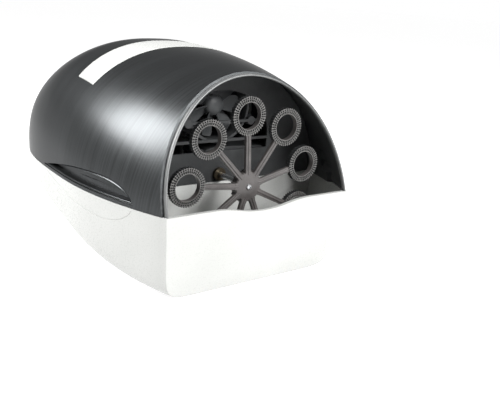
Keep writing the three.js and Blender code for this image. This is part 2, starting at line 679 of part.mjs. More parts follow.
// ---------------------------------------------------------------- batteries
function batteryBox() {
  const { halfX, halfY, wall, centreY, top } = BATTERY;
  const bottom = BATTERY.doorZ;
  const outX = halfX + wall;
  const outY = halfY + wall;
  const outer = box(-outX, outX, centreY - outY, centreY + outY, bottom, top + wall);
  const inner = box(-halfX, halfX, centreY - halfY, centreY + halfY, bottom - 2, top);
  const divider = box(3 - halfX, halfX - 3, centreY - 0.4, centreY + 0.4, BATTERY.cellZ + 8, top + 1);
  return outer.subtract(inner).add(divider).intersect(baseForm(WALL + GAP, 5));
}

function cell(row, column) {
  const facing = row > 0 ? 1 : -1;
  const half = BATTERY.cellLength / 2;
  const r = BATTERY.cellRadius;
  const outline = [
    [0, -half], [r - 3, -half], [r - 3, -half + 0.5], [r - 0.6, -half + 0.5], [r, -half + 1.2],
    [r, half - 2.6], [r - 0.6, half - 1.9], [3.4, half - 1.9], [3.2, half], [0, half],
  ];
  const geometry = new THREE.LatheGeometry(outline.map(([x, y]) => new THREE.Vector2(x, y)), 16);
  geometry.rotateZ((-Math.PI / 2) * facing);
  const x = column * (half + GAP);
  geometry.translate(x, BATTERY.centreY + row * BATTERY.rowOffset, BATTERY.cellZ);
  return solid(geometry);
}

// Conical spring that presses on the flat end of a cell, wound about x.
function contactSpring(row) {
  const side = row > 0 ? -1 : 1;
  const end = BATTERY.cellLength + 2 * GAP;
  const turns = 3;
  class Cone extends THREE.Curve {
    getPoint(u, target = new THREE.Vector3()) {
      const angle = 2 * Math.PI * turns * u;
      const radius = 3 + 4.5 * u;
      return target.set(side * (end + 0.8 + 4.6 * u), radius * Math.cos(angle), radius * Math.sin(angle));
    }
  }
  const wire = new THREE.Shape();
  wire.absarc(0, 0, 0.5, 0, 2 * Math.PI, false);
  const settings = { extrudePath: new Cone(), steps: 30, curveSegments: 2 };
  const geometry = new THREE.ExtrudeGeometry(wire, settings);
  geometry.translate(0, BATTERY.centreY + row * BATTERY.rowOffset, BATTERY.cellZ);
  return solid(geometry);
}

function contactPlate(side) {
  const back = BATTERY.halfX - GAP;
  const face = BATTERY.cellLength + 3 * GAP;
  const y = BATTERY.centreY;
  const plate = box(back - 0.4, back, y - 24, y + 24, BATTERY.cellZ - 9, BATTERY.cellZ + 9);
  const nose = box(face, back - 0.2, -3, 3, -3, 3);
  const contact = plate.add(nose.translate([0, y + side * BATTERY.rowOffset, BATTERY.cellZ]));
  return side > 0 ? contact : contact.mirror([1, 0, 0]);
}

function batteryDoor() {
  const { doorHalfX, doorHalfY, centreY, doorZ, doorThickness } = BATTERY;
  const front = centreY - doorHalfY;
  const rear = centreY + doorHalfY;
  let door = box(-doorHalfX, doorHalfX, front, rear, doorZ, doorZ + doorThickness);
  door = door.add(barX(doorThickness / 2, rear, doorZ + doorThickness / 2, -doorHalfX, doorHalfX, 14));
  return door.subtract(box(-8, 8, front - 1, front + 3, doorZ - 1, doorZ + 0.9));
}

// ---------------------------------------------------------------- switch, feet and fasteners
function switchHousing() {
  const halfX = SWITCH.width / 2;
  const halfY = SWITCH.length / 2;
  const seat = GAP - SWITCH.pocket;
  const flange = seatBox(-halfX, halfX, -halfY, halfY, seat, seat + SWITCH.flange);
  const bodyX = SWITCH.bodyWidth / 2;
  const bodyY = SWITCH.bodyLength / 2;
  const body = seatBox(-bodyX, bodyX, -bodyY, bodyY, -16, seat + 0.5);
  const well = seatBox(-5.2, 5.2, -8.9, 8.9, -12, 8);
  return flange.add(body).subtract(well);
}

// The rocker rests tipped by `rest` degrees about x, with its lower end pressed.
const ROCKER = { halfX: 4.7, halfY: 8.2, pivotZ: -2.6, rest: 8 };
function powerRocker() {
  const profile = new THREE.Shape();
  profile.moveTo(-ROCKER.halfY, -1.2);
  profile.lineTo(-5, -6);
  profile.lineTo(5, -6);
  profile.lineTo(ROCKER.halfY, -1.2);
  profile.lineTo(ROCKER.halfY, 3.6);
  profile.quadraticCurveTo(0, 0.8, -ROCKER.halfY, 3.6);
  profile.closePath();
  const geometry = new THREE.ExtrudeGeometry(profile, {
    depth: 2 * ROCKER.halfX, bevelEnabled: false, curveSegments: 6,
  });
  geometry.translate(0, 0, -ROCKER.halfX);
  geometry.applyMatrix4(new THREE.Matrix4().set(0, 0, 1, 0, 1, 0, 0, 0, 0, 1, 0, 0, 0, 0, 0, 1));
  geometry.rotateX(THREE.MathUtils.degToRad(-ROCKER.rest));
  geometry.translate(0, 0, ROCKER.pivotZ);
  geometry.rotateX(switchSeat.tilt);
  geometry.translate(switchSeat.at.x, switchSeat.at.y, switchSeat.at.z);
  return solid(geometry);
}

function foot(x, y) {
  const profile = [[0, 0], [FOOT.radius - 0.8, 0], [FOOT.radius, 0.7], [FOOT.radius, FOOT.height],
    [FOOT.stem, FOOT.height], [FOOT.stem, FOOT.stemHeight], [0, FOOT.stemHeight]];
  const geometry = new THREE.LatheGeometry(profile.map(([r, z]) => new THREE.Vector2(r, z)), 14);
  geometry.rotateX(Math.PI / 2);
  geometry.translate(x, y, 0);
  return solid(geometry);
}

// Case screws go up through the base posts into the hood's bosses.
function caseScrew(x, y) {
  const seat = SPLIT_Z - POST.web;
  return union(
    barZ(3.1, x, y, seat - GAP - 2.2, seat - GAP, 16),
    barZ(1.5, x, y, seat - 1, SPLIT_Z + POST.bossHole - 3, 12),
  );
}

// ---------------------------------------------------------------- assembly
const COLOURS = {
  charcoal: [0x33373a, 0.42, 0.35],
  white: [0xf0f1ef, 0.22, 0],
  silver: [0xd9dbdd, 0.25, 0.6],
  wheelBrown: [0x4a4443, 0.5, 0],
  darkPlastic: [0x26282a, 0.6, 0],
  greyPlastic: [0x5c6064, 0.6, 0],
  gearWhite: [0xe6e3d8, 0.45, 0],
  steel: [0xb8bcc0, 0.3, 1],
  brass: [0xc9a552, 0.35, 1],
  rubber: [0x1b1b1c, 0.85, 0],
  cellWrap: [0x2f6d8f, 0.35, 0.1],
};
const materials = Object.fromEntries(
  Object.entries(COLOURS).map(([name, [color, roughness, metalness]]) => [
    name, new THREE.MeshStandardMaterial({ name, color, roughness, metalness }),
  ]),
);

const machine = new THREE.Group();
machine.position.y = -LENGTH / 2;

function place(name, part, material, parent = machine) {
  const mesh = new THREE.Mesh(surface(part), materials[material]);
  mesh.name = name;
  parent.add(mesh);
  return mesh;
}

function pivotAt(x, y, z) {
  const group = new THREE.Group();
  group.position.set(x, y, z);
  machine.add(group);
  return group;
}

place('hood_shell', hoodShell(), 'charcoal');
place('rim_trim', rimTrim(), 'silver');
place('carry_handle', carryHandle(), 'white');
place('base_shell', baseShell(), 'white');

place('wand_wheel', wandWheel(), 'wheelBrown');
place('hub_screw', hubScrew(), 'steel');
place('wheel_shaft', barY(SHAFT.radius, 0, WHEEL.hubZ, SHAFT.front, SHAFT.rear, 20), 'steel');
place('wheel_bush', wheelBush(), 'brass');

const axisOf = ([x, z]) => pivotAt(x, 0, z);
place('wheel_gear', wheelGear(), 'gearWhite', axisOf(CENTRES.wheel));
const secondGear = compoundGear(PHASES.second, PLANES.wheel, PLANES.second);
const firstGear = compoundGear(PHASES.first, PLANES.second, PLANES.first);
place('second_gear', secondGear, 'gearWhite', axisOf(CENTRES.second));
place('first_gear', firstGear, 'gearWhite', axisOf(CENTRES.first));
const motorAxis = axisOf(CENTRES.motor);
const motorShaft = barY(MOTOR.shaft, 0, 0, PLANES.first[0] - 1, MOTOR.front + 16, 12);
place('motor_pinion', motorPinion(), 'brass', motorAxis);
place('wheel_motor_shaft', motorShaft, 'steel', motorAxis);
place('wheel_motor', canMotor(MOTOR.radius, MOTOR.front, MOTOR.length, 1.6), 'steel', motorAxis);
const gearPin = (centre) => barY(GEAR.pinRadius, ...centre, CASE.front + 0.2, CASE.rear + 1.8, 12);
place('second_gear_pin', gearPin(CENTRES.second), 'steel');
place('first_gear_pin', gearPin(CENTRES.first), 'steel');
place('gearbox_front', gearboxFront(), 'darkPlastic');
place('gearbox_rear', gearboxRear(), 'darkPlastic');
CASE_SCREWS.forEach(([x, z], i) => {
  place(`gearbox_screw_${i + 1}`, screwBack(x, z, CASE.rear + CASE.cover, 1, 9, 2.3), 'steel');
});

place('fan_baffle', fanBaffle(), 'darkPlastic');
place('fan_shroud', fanShroud(), 'darkPlastic');
const fanAxis = pivotAt(0, 0, FAN.z);
place('fan_impeller', fanImpeller(), 'greyPlastic', fanAxis);
const fanShaft = barY(1, 0, 0, FAN.front + 3, FAN.motorFront + 16, 12);
place('fan_motor_shaft', fanShaft, 'steel', fanAxis);
place('fan_motor', canMotor(FAN.motorRadius, FAN.motorFront, FAN.motorLength, 1.4), 'steel', fanAxis);
const earBack = BAFFLE.front + BAFFLE.thickness + 3.6 + GAP;
FAN_EARS.forEach(([x, z], i) => {
  place(`fan_screw_${i + 1}`, screwBack(x, z, earBack, 0.9, 4.6, 2.2), 'steel');
});

place('battery_box', batteryBox(), 'darkPlastic');
[[1, -1], [1, 1], [-1, -1], [-1, 1]].forEach(([row, column], i) => {
  place(`battery_cell_${i + 1}`, cell(row, column), 'cellWrap');
});
[1, -1].forEach((row, i) => place(`battery_spring_${i + 1}`, contactSpring(row), 'steel'));
[1, -1].forEach((side, i) => place(`battery_contact_${i + 1}`, contactPlate(side), 'steel'));
place('battery_door', batteryDoor(), 'white');

place('switch_housing', switchHousing(), 'darkPlastic');
place('power_rocker', powerRocker(), 'charcoal');
FEET.forEach(([x, y], i) => place(`foot_${i + 1}`, foot(x, y), 'rubber'));
POSTS.forEach(([x, y], i) => place(`case_screw_${i + 1}`, caseScrew(x, y), 'steel'));

export default machine;
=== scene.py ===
import json
import math

import bmesh
import bpy
import numpy as np
from mathutils import Matrix, Vector


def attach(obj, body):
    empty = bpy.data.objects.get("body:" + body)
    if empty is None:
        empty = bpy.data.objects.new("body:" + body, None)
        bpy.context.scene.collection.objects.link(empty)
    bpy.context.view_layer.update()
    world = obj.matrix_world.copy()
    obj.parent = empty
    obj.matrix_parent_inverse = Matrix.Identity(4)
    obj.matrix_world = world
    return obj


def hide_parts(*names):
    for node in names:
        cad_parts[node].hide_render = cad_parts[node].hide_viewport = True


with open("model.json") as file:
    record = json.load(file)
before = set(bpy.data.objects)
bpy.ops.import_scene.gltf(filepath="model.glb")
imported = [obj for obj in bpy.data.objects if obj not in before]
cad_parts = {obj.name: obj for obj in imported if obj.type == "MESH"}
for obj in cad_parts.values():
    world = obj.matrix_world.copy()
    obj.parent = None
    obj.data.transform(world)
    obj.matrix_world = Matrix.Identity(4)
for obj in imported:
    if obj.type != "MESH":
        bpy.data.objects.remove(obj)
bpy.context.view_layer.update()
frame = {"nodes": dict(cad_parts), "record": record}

# ---------------------------------------------------------------- dimensions, in millimetres
# Inside this script x is the frame's x, y runs back from the front of the split line, and z is
# the frame's z. to_frame() turns such points into the frame's metres.
LENGTH = 265.0
SPLIT = 64.5
GAP = 0.3
WALL = 2.4
PLAN = dict(mouth=79.7, largest=104.4, at=0.427, power=2.93, root=3.55)
CROWN = dict(mouth=87.0, largest=98.3, at=0.573, power=1.5, root=2.2)
KEEL = dict(mouth=62.5, largest=62.5, at=0.608, power=1.72, root=1.43)
LEAN = 0.32
FRONT_DRAFT = 0.132
SIDE_DRAFT = 0.00124
RECESS_DEPTH = 4.5
HANDLE = dict(front=113.0, rear=140.0, bow=6.5, half=79.4)
CHANNEL_DEPTH = 4.2
LEGS = (-70, 70)
WHEEL = dict(z=71.0, y=22.5, pitch=52.1, first=174.2, outer=14.1, inner=9.6, half=2.2, arms=9, ribs=44,
             hub_proud=1.7)
ARM_STEP = 40
FAN = dict(front=68.5, depth=9.0, z=122.0, blades=7, root=6.5, tip=24.4)
POSTS = [(-81, 98), (81, 98), (-60, 208), (60, 208)]
FEET = [(-58, 24), (58, 24), (-42, 177), (42, 177)]
VENTS = 7
DOOR_HINGE_Y = 162
SEAT_AT = Vector((0.0, 240.42, 124.17))
SEAT_TILT = -0.8139
ROCKER_REST = -8


def to_frame(points):
    points = np.asarray(points, float)
    return np.stack([points[..., 0], points[..., 1] - LENGTH / 2, points[..., 2]], -1) / 1000


def mesh_object(name, points, faces):
    """A mesh from points in millimetres, with its normals made to face outwards."""
    mesh = bpy.data.meshes.new(name)
    mesh.from_pydata(to_frame(points).reshape(-1, 3).tolist(), [], [list(map(int, f)) for f in faces])
    work = bmesh.new()
    work.from_mesh(mesh)
    bmesh.ops.remove_doubles(work, verts=work.verts, dist=2e-6)
    bmesh.ops.dissolve_degenerate(work, edges=work.edges, dist=1e-7)
    bmesh.ops.recalc_face_normals(work, faces=work.faces)
    work.to_mesh(mesh)
    work.free()
    piece = bpy.data.objects.new(name, mesh)
    bpy.context.scene.collection.objects.link(piece)
    return piece


def baked(piece):
    """The piece with its modifiers turned into plain geometry."""
    graph = bpy.context.evaluated_depsgraph_get()
    graph.update()
    mesh = bpy.data.meshes.new_from_object(piece.evaluated_get(graph))
    piece.modifiers.clear()
    old = piece.data
    piece.data = mesh
    bpy.data.meshes.remove(old)
    mesh.name = piece.name
    return piece


def cut(piece, cutter, operation="DIFFERENCE"):
    step = piece.modifiers.new("cut", "BOOLEAN")
    step.operation = operation
    step.solver = "EXACT"
    step.object = cutter
    baked(piece)
    bpy.data.objects.remove(cutter)
    return piece


def smooth(piece, degrees=32):
    mesh = piece.data
    mesh.polygons.foreach_set("use_smooth", [True] * len(mesh.polygons))
    mesh.set_sharp_from_angle(angle=math.radians(degrees))
    mesh.update()
    return piece


def bevelled(piece, width, segments=2, degrees=40):
    step = piece.modifiers.new("edges", "BEVEL")
    step.width = width / 1000
    step.segments = segments
    step.limit_method = "ANGLE"
    step.angle_limit = math.radians(degrees)
    step.harden_normals = False
    return step


def joined(name, pieces):
    """Several pieces as one mesh."""
    work = bmesh.new()
    for piece in pieces:
        work.from_mesh(piece.data)
        bpy.data.objects.remove(piece)
    mesh = bpy.data.meshes.new(name)
    work.to_mesh(mesh)
    work.free()
    whole = bpy.data.objects.new(name, mesh)
    bpy.context.scene.collection.objects.link(whole)
    return whole


# ---------------------------------------------------------------- generators of closed meshes
def grid_faces(rows, cols, close=False):
    faces = []
    for i in range(rows - 1):
        for j in range(cols if close else cols - 1):
            k = (j + 1) % cols
            faces.append((i * cols + j, i * cols + k, (i + 1) * cols + k, (i + 1) * cols + j))
    return faces


def tube(rings):
    """Points and faces of a solid skinned over closed rings, with both ends capped by a fan."""
    rings = np.asarray(rings, float)
    count, around = rings.shape[:2]
    points = rings.reshape(-1, 3).tolist()
    faces = grid_faces(count, around, close=True)
    for first, ring in ((0, rings[0]), ((count - 1) * around, rings[-1])):
        points.append(ring.mean(0).tolist())
        hub = len(points) - 1
        faces += [(first + j, first + (j + 1) % around, hub) for j in range(around)]
    return points, faces


def box_points(x0, x1, y0, y1, z0, z1):
    points = [(x, y, z) for x in (x0, x1) for y in (y0, y1) for z in (z0, z1)]
    faces = [(0, 1, 3, 2), (4, 6, 7, 5), (0, 4, 5, 1), (2, 3, 7, 6), (0, 2, 6, 4), (1, 5, 7, 3)]
    return points, faces


def box(name, *limits):
    return mesh_object(name, *box_points(*limits))


def lathe(name, profile, centre, axis="z", segments=48):
    """Turns (radius, along) points about an axis through centre. The profile ends on the axis or closes."""
    profile = np.asarray(profile, float)
    angle = 2 * np.pi * np.arange(segments) / segments
    closed = abs(profile[0, 0]) > 1e-6
    if closed:
        profile = np.vstack([profile, profile[:1]])
    radius, along = profile[:, 0][:, None], profile[:, 1][:, None]
    a, b = radius * np.cos(angle), radius * np.sin(angle)
    along = np.broadcast_to(along, a.shape)
    spot = {"z": (a, b, along), "y": (a, along, b), "x": (along, a, b)}[axis]
    points = np.stack(spot, -1) + np.asarray(centre, float)
    return mesh_object(name, points, grid_faces(len(profile), segments, close=True))


def gather(parts):
    """Joins (points, faces) pairs."""
    points, faces = [], []
    for more, sides in parts:
        start = len(points)
        points += [tuple(p) for p in more]
        faces += [tuple(start + i for i in f) for f in sides]
    return points, faces


# ---------------------------------------------------------------- the egg-shaped body
def swell(t, mouth, largest, at, power, root):
    t = np.asarray(t, float)
    tail = np.clip((t - at) / (1 - at), 0, 1)
    rear = largest * np.clip(1 - tail**power, 0, 1) ** (1 / root)
    return np.where(t < at, largest - (largest - mouth) * ((at - t) / at) ** 2, rear)


def hood_power(t):
    return 1.97 + 0.72 * t


def base_power(t):
    return 2.4 + 10.0 * np.clip(1 - t, 0, 1) ** 2.94


def polar(angle, power):
    """A superellipse's point of the unit square at a polar angle."""
    c, s = np.cos(angle), np.sin(angle)
    radius = (np.abs(c) ** power + np.abs(s) ** power) ** (-1 / power)
    return radius * c, np.clip(radius * s, 0, None)


def hood_at(t, angle, inset=0.0):
    across, high = polar(angle, hood_power(t))
    x = np.maximum(swell(t, **PLAN) - inset, 0.02) * across
    up = np.maximum(swell(t, **CROWN) - inset, 0.02) * high
    y = t * (LENGTH - inset) + LEAN * up * (1 - t)
    return np.stack(np.broadcast_arrays(x, y, SPLIT + GAP + up), -1)


def base_at(t, angle, inset=0.0):
    across, deep = polar(angle, base_power(t))
    down = np.maximum(swell(t, **KEEL) - inset, 0.02) * deep
    x = np.maximum(swell(t, **PLAN) - inset, 0.02) * across * (1 - SIDE_DRAFT * down)
    y = inset + t * (LENGTH - 2 * inset) + FRONT_DRAFT * down * (1 - t)
    return np.stack(np.broadcast_arrays(x, y, SPLIT - down), -1)


def side_x(y, z, inset):
    """Half width of the body at a height and a distance back, hood above and base below."""
    up = np.clip(z - SPLIT - GAP, 0, None)
    down = np.clip(SPLIT - z, 0, None)
    th = np.clip((y - LEAN * up) / (LENGTH - LEAN * up), 0, 1)
    tb = np.clip((y - FRONT_DRAFT * down) / (LENGTH - FRONT_DRAFT * down), 0, 1)
    t = np.where(z > SPLIT, th, tb)
    power = np.where(z > SPLIT, hood_power(t), base_power(t))
    tall = np.where(z > SPLIT, swell(t, **CROWN), swell(t, **KEEL)) - inset
    share = np.clip(np.where(z > SPLIT, up, down) / np.maximum(tall, 0.1), 0, 1)
    x = (swell(t, **PLAN) - inset) * (1 - share**power) ** (1 / power)
    return np.where(z > SPLIT, x, x * (1 - SIDE_DRAFT * down))


def top_z(x, y, inset):
    """Height of the hood's surface over a place in plan."""
    up = np.full(np.shape(x), 90.0)
    for _ in range(14):
        t = np.clip((y - LEAN * up) / (LENGTH - LEAN * up), 0, 1)
        power = hood_power(t)
        share = np.clip(np.abs(x) / np.maximum(swell(t, **PLAN) - inset, 0.1), 0, 1)
        up = (swell(t, **CROWN) - inset) * (1 - share**power) ** (1 / power)
    return SPLIT + GAP + up


# ---------------------------------------------------------------- outline of the finger recess
def bezier(p0, p1, p2, p3, count):
    s = np.linspace(0, 1, count, endpoint=False)[:, None]
    p0, p1, p2, p3 = (np.asarray(p, float) for p in (p0, p1, p2, p3))
    return (1 - s) ** 3 * p0 + 3 * s * (1 - s) ** 2 * p1 + 3 * s**2 * (1 - s) * p2 + s**3 * p3


def leaf_outline(count=26):
    """Half a leaf over the split: round above, and straight below where a lip is left."""
    front, rear, shoulder, tip = 27.0, 151.0, 62.0, 7.0
    top, bottom = SPLIT + 15.2, SPLIT + 2.7
    below = np.linspace(rear, front, 2 * count, endpoint=False)
    return np.vstack([
        bezier((front, bottom), (front + 3, bottom + tip), (front + 16, top), (shoulder, top), count),
        bezier((shoulder, top), (shoulder + 34, top), (rear - 34, bottom + tip), (rear, bottom), count),
        np.stack([below, np.full(2 * count, bottom)], -1),
    ])


def under_leaf(count=26):
    """The faint outline that carries the leaf on below the split."""
    front, rear, shoulder, tip, bottom = 27.0, 151.0, 62.0, 7.0, SPLIT - 15.0
    return np.vstack([
        bezier((rear, SPLIT), (rear - 34, SPLIT - tip), (shoulder + 34, bottom), (shoulder, bottom), count),
        bezier((shoulder, bottom), (front + 16, bottom), (front + 3, SPLIT - tip), (front, SPLIT), count),
    ])


LEAF = leaf_outline()


def leaf_depth(y, z):
    """How far inside the leaf outline a place is, negative outside it."""
    spots = np.stack([y, z], -1)[..., None, :]
    a, b = LEAF, np.roll(LEAF, -1, 0)
    along = b - a
    s = np.clip(((spots - a) * along).sum(-1) / (along**2).sum(-1), 0, 1)
    near = np.linalg.norm(spots - (a + s[..., None] * along), axis=-1).min(-1)
    crosses = (a[:, 1] > spots[..., 1]) != (b[:, 1] > spots[..., 1])
    at = a[:, 0] + (spots[..., 1] - a[:, 1]) / np.where(along[:, 1] == 0, 1e-9, along[:, 1]) * along[:, 0]
    inside = (crosses & (spots[..., 0] < at)).sum(-1) % 2 == 1
    return np.where(inside, near, -near)


def ease(value, low, high):
    s = np.clip((value - low) / (high - low), 0, 1)
    return s * s * (3 - 2 * s)


def recess_bulge(y, z):
    """Extra inset of the wall's inner face behind the recess."""
    return RECESS_DEPTH * ease(leaf_depth(y, z), -WALL - 2.5, -WALL)


def leaf_cutter(side):
    """Solid that cuts the recess of the hood, with a rounded lip and a rounded floor edge."""
    profile = [(1.3, -4), (1.3, -2.5), (0.35, -0.2), (0.2, 1.0), (-0.05, 1.15), (-0.2, 0.85), (-0.5, 0.42),
               (-0.85, 0.14), (-1.2, 0.03), (-1.5, 0.2), (-1.75, 0.7), (-1.85, 1.6), (-1.9, 3.2), (-2.1, 4.0),
               (-2.5, RECESS_DEPTH), (-3.5, RECESS_DEPTH), (-4.5, RECESS_DEPTH), (-5.8, RECESS_DEPTH)]
    centre = np.array([84.0, SPLIT + 8.95])
    rings = []
    for grow, inset in profile:
        outline = centre + (LEAF - centre) * [1 + grow / 62.0, 1 + grow / 6.25]
        y, z = outline[:, 0], outline[:, 1]
        rings.append(np.stack([side * side_x(y, z, inset), y, z], -1))
    around, last = len(LEAF), (len(profile) - 1) * len(LEAF)
    faces = grid_faces(len(profile), around, close=True)
    for i in range(around // 2):
        strip = (i, i + 1, (around - i - 1) % around, (around - i) % around)
        faces += [strip, tuple(last + k for k in strip)]
    return mesh_object("cutter", np.array(rings).reshape(-1, 3), faces)


def leaf_groove(side):
    """Slim solid that leaves a shallow step along the outline under the split."""
    path = under_leaf()
    path = path[path[:, 1] < SPLIT - 0.9]
    rings = []
    for out, inset in ((-0.8, -0.6), (0.6, -0.6), (0.2, 0.12), (-0.1, 0.34), (-0.65, 0.1)):
        along = np.gradient(path, axis=0)
        normal = np.stack([-along[:, 1], along[:, 0]], -1)
        normal = normal / np.linalg.norm(normal, axis=1, keepdims=True)
        edge = path - normal * out
        y, z = edge.T
        rings.append(np.stack([side * side_x(y, z, inset), y, z], -1))
    count = len(path)
    points = np.stack(rings, 1).reshape(-1, 3)
    faces = grid_faces(count, len(rings), close=True)
    faces += [tuple(range(len(rings))), tuple(range((count - 1) * len(rings), count * len(rings)))]
    return mesh_object("groove", points, faces)


# ---------------------------------------------------------------- materials
def material(name, colour, roughness, metallic=0.0, coat=0.0, specular=0.5):
    made = bpy.data.materials.new(name)
    made.use_nodes = True
    shader = made.node_tree.nodes["Principled BSDF"]
    shader.inputs["Base Color"].default_value = (*colour, 1)
    shader.inputs["Roughness"].default_value = roughness
    shader.inputs["Metallic"].default_value = metallic
    shader.inputs["Coat Weight"].default_value = coat
    shader.inputs["Coat Roughness"].default_value = 0.12
    shader.inputs["Specular IOR Level"].default_value = specular
    return made, made.node_tree, shader


def noise(tree, scale, stretch=(1, 1, 1), detail=3.0, rough=0.5, offset=(0, 0, 0)):
    """Noise over the object's own coordinates, stretched along the axes."""
    where = tree.nodes.new("ShaderNodeTexCoord")
    place = tree.nodes.new("ShaderNodeMapping")
    place.inputs["Scale"].default_value = stretch
    place.inputs["Location"].default_value = offset
    made = tree.nodes.new("ShaderNodeTexNoise")
    made.inputs["Scale"].default_value = scale
    made.inputs["Detail"].default_value = detail
    made.inputs["Roughness"].default_value = rough
    tree.links.new(where.outputs["Object"], place.inputs["Vector"])
    tree.links.new(place.outputs["Vector"], made.inputs["Vector"])
    return made.outputs["Fac"]


def remap(tree, value, low, high, start=0.3, end=0.7):
    made = tree.nodes.new("ShaderNodeMapRange")
    made.inputs["From Min"].default_value = start
    made.inputs["From Max"].default_value = end
    made.inputs["To Min"].default_value = low
    made.inputs["To Max"].default_value = high
    tree.links.new(value, made.inputs["Value"])
    return made.outputs["Result"]


def tint(tree, value, dark, light, low=0.3, high=0.7):
    made = tree.nodes.new("ShaderNodeValToRGB")
    made.color_ramp.elements[0].position = low
    made.color_ramp.elements[0].color = (*dark, 1)
    made.color_ramp.elements[1].position = high
    made.color_ramp.elements[1].color = (*light, 1)
    tree.links.new(value, made.inputs["Fac"])
    return made.outputs["Color"]


def bump(tree, shader, value, distance, strength=1.0, below=None):
    made = tree.nodes.new("ShaderNodeBump")
    made.inputs["Distance"].default_value = distance
    made.inputs["Strength"].default_value = strength
    tree.links.new(value, made.inputs["Height"])
    if below is not None:
        tree.links.new(below, made.inputs["Normal"])
    tree.links.new(made.outputs["Normal"], shader.inputs["Normal"])
    return made.outputs["Normal"]


def finish_surface(name, dark, light, rough, metallic=0.0, coat=0.0, patch=9.0, grain=900.0, depth=1.2e-5,
                   stretch=(1, 1, 1), specular=0.5):
    """Colour that drifts over the piece, roughness that varies, and a fine raised grain."""
    mid = tuple((a + b) / 2 for a, b in zip(dark, light))
    made, tree, shader = material(name, mid, sum(rough) / 2, metallic, coat, specular)
    drift = noise(tree, patch, detail=4.0, rough=0.6)
    fine = noise(tree, grain, stretch, detail=2.0)
    tree.links.new(tint(tree, drift, dark, light), shader.inputs["Base Color"])
    tree.links.new(remap(tree, fine, rough[0], rough[1]), shader.inputs["Roughness"])
    bump(tree, shader, fine, depth)
    return made


def hood_paint():
    """Satin gunmetal with fine streaks that run up over the crown."""
    made, tree, shader = material("hood_paint", (0.05, 0.052, 0.054), 0.3, 0.75, 0.0)
    shader.inputs["Specular Tint"].default_value = (0.5, 0.5, 0.5, 1)
    streak = noise(tree, 1.0, (9, 1100, 9), detail=2.0, rough=0.5)
    broad = noise(tree, 1.0, (6, 150, 6), detail=2.0, offset=(3.1, 0, 0))
    fleck = noise(tree, 2600.0, detail=1.0)
    mix = tree.nodes.new("ShaderNodeMix")
    mix.inputs["Factor"].default_value = 0.22
    tree.links.new(streak, mix.inputs["A"])
    tree.links.new(broad, mix.inputs["B"])
    blend = mix.outputs["Result"]
    tree.links.new(tint(tree, blend, (0.036, 0.038, 0.039), (0.053, 0.056, 0.058), 0.34, 0.66),
                   shader.inputs["Base Color"])
    tree.links.new(remap(tree, blend, 0.28, 0.35, 0.3, 0.7), shader.inputs["Roughness"])
    first = bump(tree, shader, streak, 3e-6)
    bump(tree, shader, fleck, 5e-6, below=first)
    return made


def wrap_sleeve():
    """Printed sleeve of a cell with bare metal ends."""
    made, tree, shader = material("cell_sleeve", (0.04, 0.14, 0.24), 0.3, 0.1, 0.3)
    facing = tree.nodes.new("ShaderNodeNewGeometry")
    split = tree.nodes.new("ShaderNodeSeparateXYZ")
    size = tree.nodes.new("ShaderNodeMath")
    size.operation = "ABSOLUTE"
    tree.links.new(facing.outputs["Normal"], split.inputs["Vector"])
    tree.links.new(split.outputs["X"], size.inputs[0])
    ends = remap(tree, size.outputs[0], 0.0, 1.0, 0.6, 0.7)
    drift = noise(tree, 60.0, (4, 1, 1))
    sleeve = tint(tree, drift, (0.03, 0.11, 0.2), (0.06, 0.18, 0.29))
    mix = tree.nodes.new("ShaderNodeMix")
    mix.data_type = "RGBA"
    mix.inputs["B"].default_value = (0.62, 0.62, 0.6, 1)
    tree.links.new(ends, mix.inputs["Factor"])
    tree.links.new(sleeve, mix.inputs["A"])
    tree.links.new(mix.outputs["Result"], shader.inputs["Base Color"])
    tree.links.new(ends, shader.inputs["Metallic"])
    bump(tree, shader, noise(tree, 500.0), 8e-6)
    return made


LOOKS = {
    "charcoal_plastic": hood_paint(),
    "white_plastic": finish_surface("gloss_white", (0.41, 0.415, 0.402), (0.45, 0.455, 0.442), (0.24, 0.36),
                                    patch=14, grain=1100, depth=7e-6, specular=0.3),
    "silver_trim": finish_surface("silver_paint", (0.11, 0.113, 0.113), (0.155, 0.158, 0.158), (0.42, 0.52),
                                  metallic=0.5, coat=0.0, patch=30, grain=2400, depth=6e-6),
    "wheel_plastic": finish_surface("wheel_plastic", (0.045, 0.041, 0.04), (0.078, 0.072, 0.07), (0.28, 0.42),
                                    patch=120, grain=1600, depth=1.6e-5),
    "dark_plastic": finish_surface("dark_plastic", (0.017, 0.018, 0.019), (0.037, 0.039, 0.04), (0.5, 0.65),
                                   patch=40, grain=1900, depth=2.4e-5),
    "grey_plastic": finish_surface("grey_plastic", (0.045, 0.048, 0.05), (0.08, 0.084, 0.086), (0.4, 0.55),
                                   patch=60, grain=1700, depth=1.6e-5),
    "gear_plastic": finish_surface("acetal", (0.72, 0.70, 0.63), (0.82, 0.80, 0.73), (0.34, 0.48), patch=80,
                                   grain=1500, depth=8e-6),
    "steel": finish_surface("steel", (0.48, 0.49, 0.5), (0.66, 0.67, 0.68), (0.2, 0.36), metallic=1.0,
                            patch=90, grain=700, depth=6e-6, stretch=(1, 12, 1)),
    "brass": finish_surface("sintered_bronze", (0.06, 0.05, 0.036), (0.11, 0.09, 0.062), (0.4, 0.55),
                            metallic=1.0, patch=110, grain=900, depth=6e-6),
    "rubber": finish_surface("rubber", (0.016, 0.016, 0.016), (0.035, 0.034, 0.034), (0.7, 0.88), patch=150,
                             grain=1300, depth=3e-5, specular=0.3),
    "cell_wrap": wrap_sleeve(),
}


def dress(piece, slot):
    piece.data.materials.clear()
    piece.data.materials.append(LOOKS[slot])
    return piece


def settle(piece, body, slot, *nodes):
    """Gives a new piece its finish and body, and hides the CAD nodes it stands for."""
    dress(piece, slot)
    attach(piece, body)
    if nodes:
        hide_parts(*nodes)
    return piece


